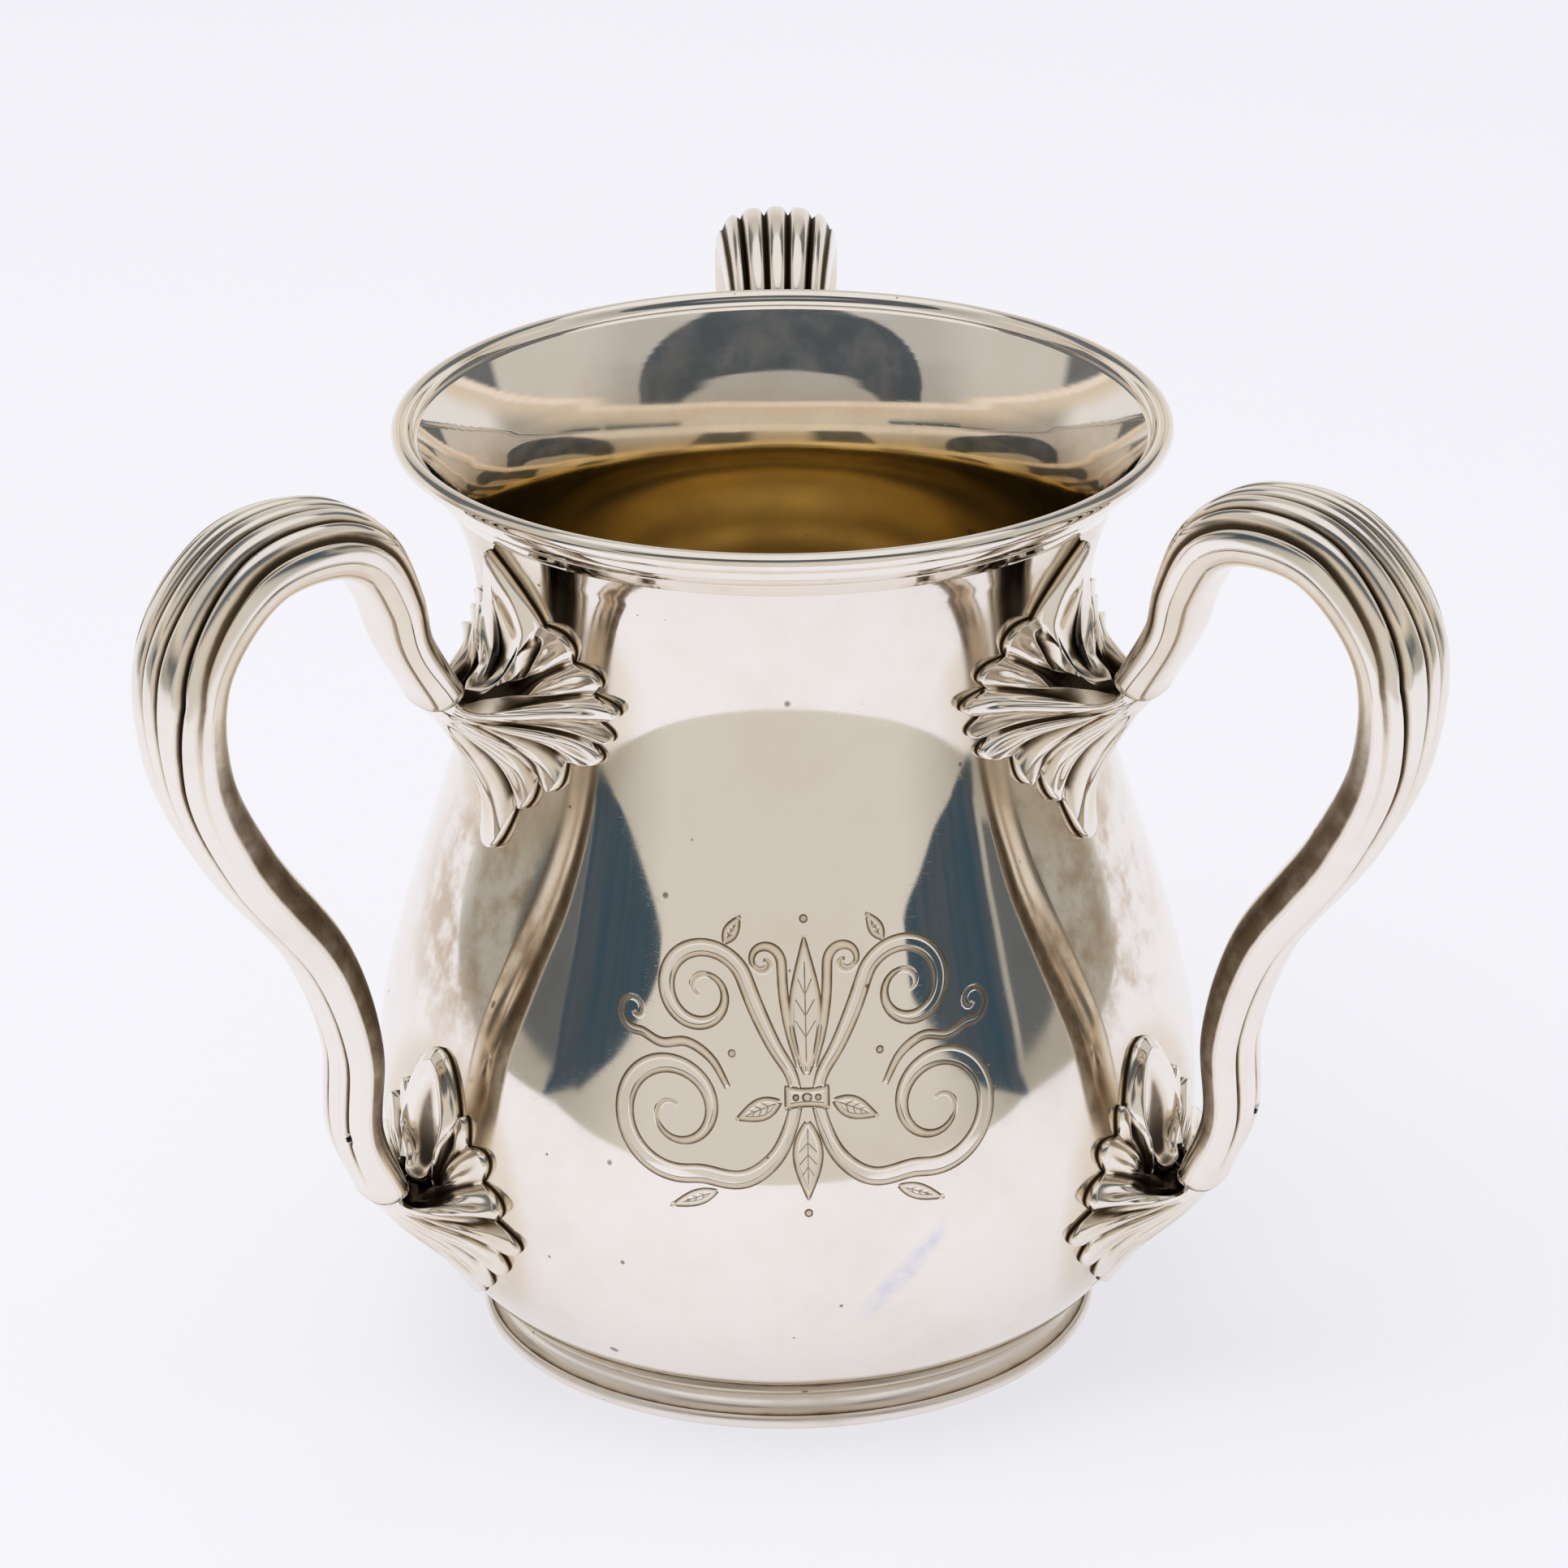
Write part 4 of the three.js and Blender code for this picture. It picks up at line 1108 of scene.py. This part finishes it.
def make_foot():
    """The foot ring: a flat rest edge, a rounded flange, a hollow and the seat of the body."""
    s = sizes()
    hollow = s.foot_join_radius - s.cove_depth
    bore = hollow - s.foot_wall
    out = s.foot_join_radius + s.flange_reach
    low, high = s.flange_height, s.foot_height
    tall = high - low
    # Radius, height and darkness from the rest edge round the outside to the seat
    profile = [
        (bore, 0.0002, 0.5), (bore + 0.0002, 0.0, 0.6), (out - 0.0012, 0.0, 0.6),
        (out - 0.0007, 0.00008, 0.4), (out - 0.0003, low * 0.20, 0.1), (out - 0.00008, low * 0.38, 0.0),
        (out, low * 0.56, 0.0), (out - 0.00010, low * 0.76, 0.0), (out - 0.00035, low * 0.92, 0.0),
        (out - 0.00075, low, 0.1), (out - 0.00110, low + 0.00002, 0.8),
        (out - 0.00125, low + 0.00016, 0.6),
    ]
    for up, filled, dark in ((0.16, 0.44, 0.12), (0.28, 0.26, 0.08), (0.40, 0.14, 0.08),
                             (0.52, 0.10, 0.08), (0.64, 0.15, 0.08), (0.76, 0.30, 0.08),
                             (0.86, 0.52, 0.06), (0.93, 0.74, 0.05), (0.97, 0.86, 0.05),
                             (1.0, 0.90, 0.2)):
        profile.append((hollow + s.cove_depth * filled, low + tall * up, dark))
    profile += [(bore + 0.0001, high, 1.0), (bore, high - 0.0001, 0.4)]
    rows = np.array(profile)
    piece = turned("foot_flange_and_cove", rows[:, :2], {"tarnish_and_shade": rows[:, 2]})
    return placed(piece, "foot_ring",
                  finish("foot_silver", silver_finish, patch=0.15, rough=0.42))


def make_base():
    """The base plate: gold wash above, silver below with faint turned rings."""
    s = sizes()
    edge = s.foot_join_radius - s.cove_depth - s.foot_wall
    low, high = s.base_recess, s.base_recess + s.wall
    ring = 0.00006
    under = [(0.0, low)]
    for at in (0.02, 0.30, 0.62, 0.90):
        for off, drop in ((-0.012, 0), (-0.004, ring), (0.004, ring), (0.012, 0)):
            under.append((max(edge * (at + off), 0.0002), low + drop))
    under += [(edge - 0.0003, low), (edge, low + 0.0002)]
    above = [(edge, high - 0.0002), (edge - 0.0003, high)]
    for at in (0.86, 0.55, 0.24):
        for off, drop in ((0.010, 0), (0.003, ring), (-0.003, ring), (-0.010, 0)):
            above.append((edge * (at + off), high - drop))
    above.append((0.0, high))
    outline = np.array(under + above)
    gold = np.concatenate([np.zeros(len(under)), np.ones(len(above))])
    dark = np.concatenate([np.full(len(under), 0.12), np.zeros(len(above))])
    dark[len(under) - 1 : len(under) + 2] = 0.9
    piece = turned("gilt_base_plate", outline, {"tarnish_and_shade": dark, "gilding": gold})
    return placed(piece, "base_plate",
                  finish("base_plate_silver", silver_finish, gilt=True, patch=0.6, rough=0.16))


def handle_angles():
    """Directions of the back, the left and the right handle."""
    s = sizes()
    return s.back_angle, s.left_angle, s.right_angle


def spread_round(name_end, shape, material):
    """The same shape once for each handle."""
    points, faces, marks = shape
    for handle, turn in zip(("back", "left", "right"), handle_angles()):
        piece = mesh_of(f"{handle}_{name_end}_piece", spun_about(points, turn), faces,
                        {"tarnish_and_shade": marks})
        placed(piece, f"{handle}_handle_{name_end}", material)


def make_handles():
    material = finish("polished_handle_silver", silver_finish, patch=0.35, rough=0.14, wave=0.04)
    for name_end, ring_of in (("reeded_face", reeded_ring), ("plain_back", plain_ring)):
        spread_round(name_end, handle_half(ring_of), material)


def make_leaves(name_end):
    s = sizes()
    material = finish("cast_leaf_silver", silver_finish, patch=0.6, rough=0.11, wave=0.04)
    centre, along, outward, width, depth = handle_stations()
    upper, lower = joint_heights()
    if name_end == "upper_leaf":
        end = (centre[0], along[0], outward[0], width[0], depth[0])
        shape = leaf_mesh(UPPER_TIPS, UPPER_PETAL, UPPER_HOOK, UPPER_STYLE, s.upper_leaf_drop,
                          upper, end)
    else:
        end = (centre[-1], -along[-1], outward[-1], width[-1], depth[-1])
        shape = leaf_mesh(LOWER_TIPS, LOWER_PETAL, LOWER_HOOK, LOWER_STYLE, s.lower_leaf_rise,
                          lower, end)
    spread_round(name_end, shape, material)


def make_engraving():
    piece = engraving_mesh("engraved_scrollwork")
    return placed(piece, None,
                  finish("engraved_line_silver", silver_finish, patch=0.35))


# Stage


DEGREES = 180 / math.pi
SHADED_WALL = (0.42, 0.395, 0.345)
PALE_WALL = (0.80, 0.785, 0.77)
BLUE_STREAK = (0.04, 0.075, 0.105)
GREY_STREAK = (0.13, 0.135, 0.14)
MIDDLE_HEIGHT = 0.095  # height in the cup from which directions to the floor are measured


def dark_openings(n, turn, up):
    """1 in the two dark openings beside the table, pointed below and cut off high up.

    turn is the direction round the cup from its front and up the height over it, in degrees.
    """
    hand = n.maths("SIGN", turn)
    aside = n.maths("ABSOLUTE", turn)
    # The inner edge leans towards the front as it rises, and the outer one is upright
    inner = n.maths("MAXIMUM", n.less(58.0, n.times(n.plus(up, 1.0), 1.9)), 38.5)
    inner = n.less(inner, n.times(hand, 1.5))
    outer = n.less(68.0, hand)
    between = n.times(n.ramp(n.less(aside, inner), -0.6, 0.6),
                      n.ramp(n.less(outer, aside), -0.8, 0.8))
    return n.times(between, n.ramp(up, 10.5, 13.0, 1.0, 0.0))


def wall_colour(n, turn, up):
    """Colour of the room's walls at a direction given in degrees."""
    c = colours()
    aside = n.maths("ABSOLUTE", turn)
    wall = n.mix(n.ramp(aside, 36.0, 70.0), c.room, SHADED_WALL)
    wall = n.mix(n.ramp(aside, 108.0, 122.0), wall, PALE_WALL)
    # The openings are streaked, bluer in places
    spot = n.add("ShaderNodeCombineXYZ", {0: n.times(turn, 0.3), 1: n.times(up, 0.05)})
    streak = n.ramp(n.noise(spot.outputs[0], 1.0, 4.0, 0.65), 0.35, 0.65)
    return n.mix(dark_openings(n, turn, up), wall, n.mix(streak, c.dark_room, BLUE_STREAK))


def by_ray(n, others, mirrors, camera):
    """One look for what the camera sees, one for what mirrors show and one for all other rays."""
    ray = n.add("ShaderNodeLightPath")
    first = n.add("ShaderNodeMixShader", {0: ray.outputs["Is Glossy Ray"], 1: others.outputs[0],
                                          2: mirrors.outputs[0]})
    last = n.add("ShaderNodeMixShader", {0: ray.outputs["Is Camera Ray"], 1: first.outputs[0],
                                         2: camera.outputs[0]})
    return last.outputs[0]


def floor_finish(name):
    """A pale floor that mirrors as a table top in front of a beige room."""
    c = colours()
    material = bpy.data.materials.new(name)
    material.use_nodes = True
    n = Nodes(material.node_tree)
    where = n.add("ShaderNodeTexCoord").outputs["Object"]
    x, y, _ = n.add("ShaderNodeSeparateXYZ", {0: where}).outputs
    # The mirrored table ends in a straight edge in front and far out at the sides
    ahead = n.times(y, -1.0)
    reach = n.maths("MAXIMUM", ahead, n.less(n.maths("ABSOLUTE", x), 0.45))
    mottle = n.noise(where, 9.0, 3.0, 0.6)
    pale = n.mix(n.times(mottle, 0.03), c.floor, (1.0, 1.0, 1.0))
    beyond = n.ramp(reach, 0.395, 0.41)
    bump = n.add("ShaderNodeBump", {"Height": n.noise(where, 700.0, 3.0), "Strength": 0.05,
                                    "Distance": 0.0002})
    diffuse = n.add("ShaderNodeBsdfDiffuse", {"Color": pale, "Normal": bump.outputs[0]})
    glow = n.add("ShaderNodeEmission", {"Color": pale, "Strength": 1.0})
    seen = n.add("ShaderNodeMixShader", {0: 0.25, 1: glow.outputs[0], 2: diffuse.outputs[0]})
    # Past the table's edge the walls go on down to it
    turn = n.times(n.maths("ARCTAN2", x, ahead), DEGREES)
    away = n.maths("SQRT", n.plus(n.times(x, x), n.times(y, y)))
    up = n.times(n.maths("ARCTAN2", MIDDLE_HEIGHT, away), -DEGREES)
    room = n.add("ShaderNodeEmission", {"Color": wall_colour(n, turn, up), "Strength": 1.0})
    mirrored_table = n.add("ShaderNodeMixShader",
                           {0: beyond, 1: seen.outputs[0], 2: room.outputs[0]})
    dull = n.add("ShaderNodeBsdfDiffuse", {"Color": (0.8, 0.8, 0.8, 1.0)})
    n.add("ShaderNodeOutputMaterial", {"Surface": by_ray(n, dull, mirrored_table, seen)})
    return material


def room_world():
    """A soft studio that the silver mirrors: pale walls, a white ceiling and dark openings."""
    c = colours()
    world = bpy.data.worlds.new("soft_studio")
    world.use_nodes = True
    n = Nodes(world.node_tree)
    direction = n.add("ShaderNodeTexCoord").outputs["Generated"]
    x, y, z = n.add("ShaderNodeSeparateXYZ", {0: direction}).outputs
    up = n.times(n.maths("ARCSINE", z), DEGREES)
    turn = n.times(n.maths("ARCTAN2", x, n.times(y, -1.0)), DEGREES)
    aside = n.maths("ABSOLUTE", turn)

    # Above the walls come a warm cornice, a grey wall and pale upper sides
    wall = n.mix(n.ramp(up, 10.0, 17.0), wall_colour(n, turn, up), (0.70, 0.60, 0.48))
    wall = n.mix(n.band(up, 17.5, 19.5, 0.6), wall, (0.85, 0.75, 0.66))
    high = n.mix(n.ramp(up, 30.0, 36.0), (0.45, 0.43, 0.40), (0.50, 0.48, 0.45))
    high = n.mix(n.ramp(aside, 55.0, 80.0), high, (0.61, 0.58, 0.54))
    room = n.mix(n.ramp(up, 19.8, 20.2), wall, high)
    room = n.mix(n.ramp(up, 48.0, 60.0), room, (0.86, 0.85, 0.84))

    def oval(middle, width, centre, half, power=2.0):
        """1 on the edge of an oval of directions and less inside it."""
        sideways = n.maths("ABSOLUTE", n.maths("DIVIDE", n.less(turn, middle), width))
        upwards = n.maths("ABSOLUTE", n.maths("DIVIDE", n.less(up, centre), half))
        return n.plus(n.maths("POWER", sideways, power), n.maths("POWER", upwards, power))

    # A dark arch rises high above the front
    streak = n.noise(direction, 5.0, 3.0, 0.7, (1, 1, 0.25))
    arch = n.ramp(oval(0.0, 53.0, 20.0, 35.0, 2.6), 0.96, 1.04, 1.0, 0.0)
    arch = n.times(arch, n.ramp(oval(0.0, 37.0, 18.0, 12.5), 0.9, 1.1))
    arch = n.times(arch, n.ramp(up, 19.8, 20.2))
    arch_shade = n.mix(n.ramp(streak, 0.35, 0.7), c.dark_room, GREY_STREAK)
    room = n.mix(arch, room, arch_shade)
    # Dark soft shapes at the sides, which show inside the flare
    for middle, centre in ((-74.0, 5.0), (74.0, 5.5)):
        shape = n.ramp(oval(middle, 24.0, centre, 6.0), 0.75, 1.15, 1.0, 0.0)
        shape = n.times(shape, n.ramp(aside, 68.5, 69.5))
        room = n.mix(n.times(shape, 0.85), room, c.dark_room)
    # The room behind the cup is dark above the cornice
    behind = n.times(n.ramp(n.plus(aside, n.times(up, -0.12)), 106.0, 110.0),
                     n.band(up, 20.0, 56.0, 0.8))
    behind = n.times(behind, n.ramp(aside, 150.0, 165.0, 1.0, 0.0))
    room = n.mix(n.times(behind, 0.9), room, arch_shade)
    mirrored_room = n.add("ShaderNodeBackground", {"Color": room, "Strength": 1.0})
    plain = n.add("ShaderNodeBackground", {"Color": (0.95, 0.96, 1.0, 1.0), "Strength": 0.75})
    backdrop = n.add("ShaderNodeBackground", {"Color": (*c.floor, 1.0), "Strength": 1.0})
    n.add("ShaderNodeOutputWorld", {"Surface": by_ray(n, plain, mirrored_room, backdrop)})
    bpy.context.scene.world = world


def make_floor():
    """The floor, as rings of faces round the cup."""
    steps = 96
    turn = np.linspace(0, 2 * math.pi, steps, endpoint=False)
    rings = [np.column_stack([r * np.cos(turn), r * np.sin(turn), 0 * turn])
             for r in (0.05, 0.2, 0.45, 1.0, 3.0)]
    points = np.vstack([*rings, np.zeros(3)])
    faces = [face[::-1] for face in grid_faces(len(rings), steps, close_columns=True)]
    faces += [(k, (k + 1) % steps, len(points) - 1) for k in range(steps)]
    floor = mesh_of("floor", points, faces)
    floor.data.materials.append(finish("pale_floor", floor_finish))


def hang_lamp():
    """A large square lamp over the cup, which the silver doesn't mirror."""
    lamp = bpy.data.lights.new("overhead_lamp", "AREA")
    lamp.shape, lamp.size, lamp.size_y, lamp.energy = "RECTANGLE", 1.2, 1.2, 14.0
    held = bpy.data.objects.new("overhead_lamp", lamp)
    held.location = (-0.35, -0.25, 1.5)
    held.rotation_euler = Vector((0.35, 0.25, -1.4)).to_track_quat("-Z", "Y").to_euler()
    held.visible_glossy = False
    bpy.context.scene.collection.objects.link(held)


def set_camera():
    """The camera at the photograph's angle, fitted to the rim, the foot and the handles."""
    aim, away = Vector((-0.00015, 0.0, 0.09921)), 1.3
    rise, around, roll = 0.40164, math.radians(269.5), math.radians(-0.4)
    flat = math.cos(rise)
    eye = aim + away * Vector((math.cos(around) * flat, math.sin(around) * flat, math.sin(rise)))
    ahead = (aim - eye).normalized()
    right = ahead.cross(Vector((0, 0, 1))).normalized()
    over = right.cross(ahead)
    tilted = math.cos(roll) * right + math.sin(roll) * over
    above = -math.sin(roll) * right + math.cos(roll) * over
    turned_to = Matrix((tilted, above, -ahead)).transposed().to_4x4()
    camera = bpy.data.objects.new("camera", bpy.data.cameras.new("camera"))
    camera.data.lens, camera.data.sensor_width = 169.6, 36.0
    camera.matrix_world = Matrix.Translation(eye) @ turned_to
    bpy.context.scene.collection.objects.link(camera)
    bpy.context.scene.camera = camera


def make_stage():
    """Floor, soft studio, one overhead lamp and the camera."""
    make_floor()
    room_world()
    hang_lamp()
    set_camera()
    bpy.context.scene.view_settings.view_transform = "Standard"


# Add-on


class MakeBody(bpy.types.Operator):
    """Builds the polished body with its gold wash inside"""

    bl_idname = "loving_cup.make_body"
    bl_label = "Body"

    def execute(self, context):
        make_body()
        return {"FINISHED"}


class MakeRim(bpy.types.Operator):
    """Builds the bead and bands round the lip"""

    bl_idname = "loving_cup.make_rim"
    bl_label = "Rim moulding"

    def execute(self, context):
        make_rim()
        return {"FINISHED"}


class MakeFoot(bpy.types.Operator):
    """Builds the foot ring and the base plate inside it"""

    bl_idname = "loving_cup.make_foot"
    bl_label = "Foot and base"

    def execute(self, context):
        make_foot()
        make_base()
        return {"FINISHED"}


class MakeHandles(bpy.types.Operator):
    """Builds the reeded faces and the plain backs of the three handles"""

    bl_idname = "loving_cup.make_handles"
    bl_label = "Handles"

    def execute(self, context):
        make_handles()
        return {"FINISHED"}


class MakeUpperLeaves(bpy.types.Operator):
    """Builds the leaf at the upper end of each handle"""

    bl_idname = "loving_cup.make_upper_leaves"
    bl_label = "Upper leaves"

    def execute(self, context):
        make_leaves("upper_leaf")
        return {"FINISHED"}


class MakeLowerLeaves(bpy.types.Operator):
    """Builds the leaf at the lower end of each handle"""

    bl_idname = "loving_cup.make_lower_leaves"
    bl_label = "Lower leaves"

    def execute(self, context):
        make_leaves("lower_leaf")
        return {"FINISHED"}


class MakeEngraving(bpy.types.Operator):
    """Builds the engraved scrollwork on the front"""

    bl_idname = "loving_cup.make_engraving"
    bl_label = "Engraving"

    def execute(self, context):
        make_engraving()
        return {"FINISHED"}


class MakeStage(bpy.types.Operator):
    """Builds the floor, the soft studio, the lamp and the camera"""

    bl_idname = "loving_cup.make_stage"
    bl_label = "Stage"

    def execute(self, context):
        make_stage()
        return {"FINISHED"}


MAKERS = (MakeBody, MakeRim, MakeFoot, MakeHandles, MakeUpperLeaves, MakeLowerLeaves,
          MakeEngraving, MakeStage)


class CupPanel(bpy.types.Panel):
    """Lists the parts of the cup that can be built"""

    bl_idname = "VIEW3D_PT_loving_cup"
    bl_label = "Loving Cup"
    bl_space_type = "VIEW_3D"
    bl_region_type = "UI"
    bl_category = "Loving Cup"

    def draw(self, context):
        for maker in MAKERS:
            self.layout.operator(maker.bl_idname)
        for group in (context.scene.loving_cup_sizes, context.scene.loving_cup_colours):
            column = self.layout.column(align=True)
            for key in group.__annotations__:
                column.prop(group, key)


CLASSES = (CupSizes, CupColours, *MAKERS, CupPanel)


def register():
    for kind in CLASSES:
        bpy.utils.register_class(kind)
    bpy.types.Scene.loving_cup_sizes = PointerProperty(type=CupSizes)
    bpy.types.Scene.loving_cup_colours = PointerProperty(type=CupColours)


def unregister():
    del bpy.types.Scene.loving_cup_colours
    del bpy.types.Scene.loving_cup_sizes
    for kind in reversed(CLASSES):
        bpy.utils.unregister_class(kind)


def main():
    register()
    for maker in MAKERS:
        group, name = maker.bl_idname.split(".")
        getattr(getattr(bpy.ops, group), name)()


if __name__ == "__main__":
    main()
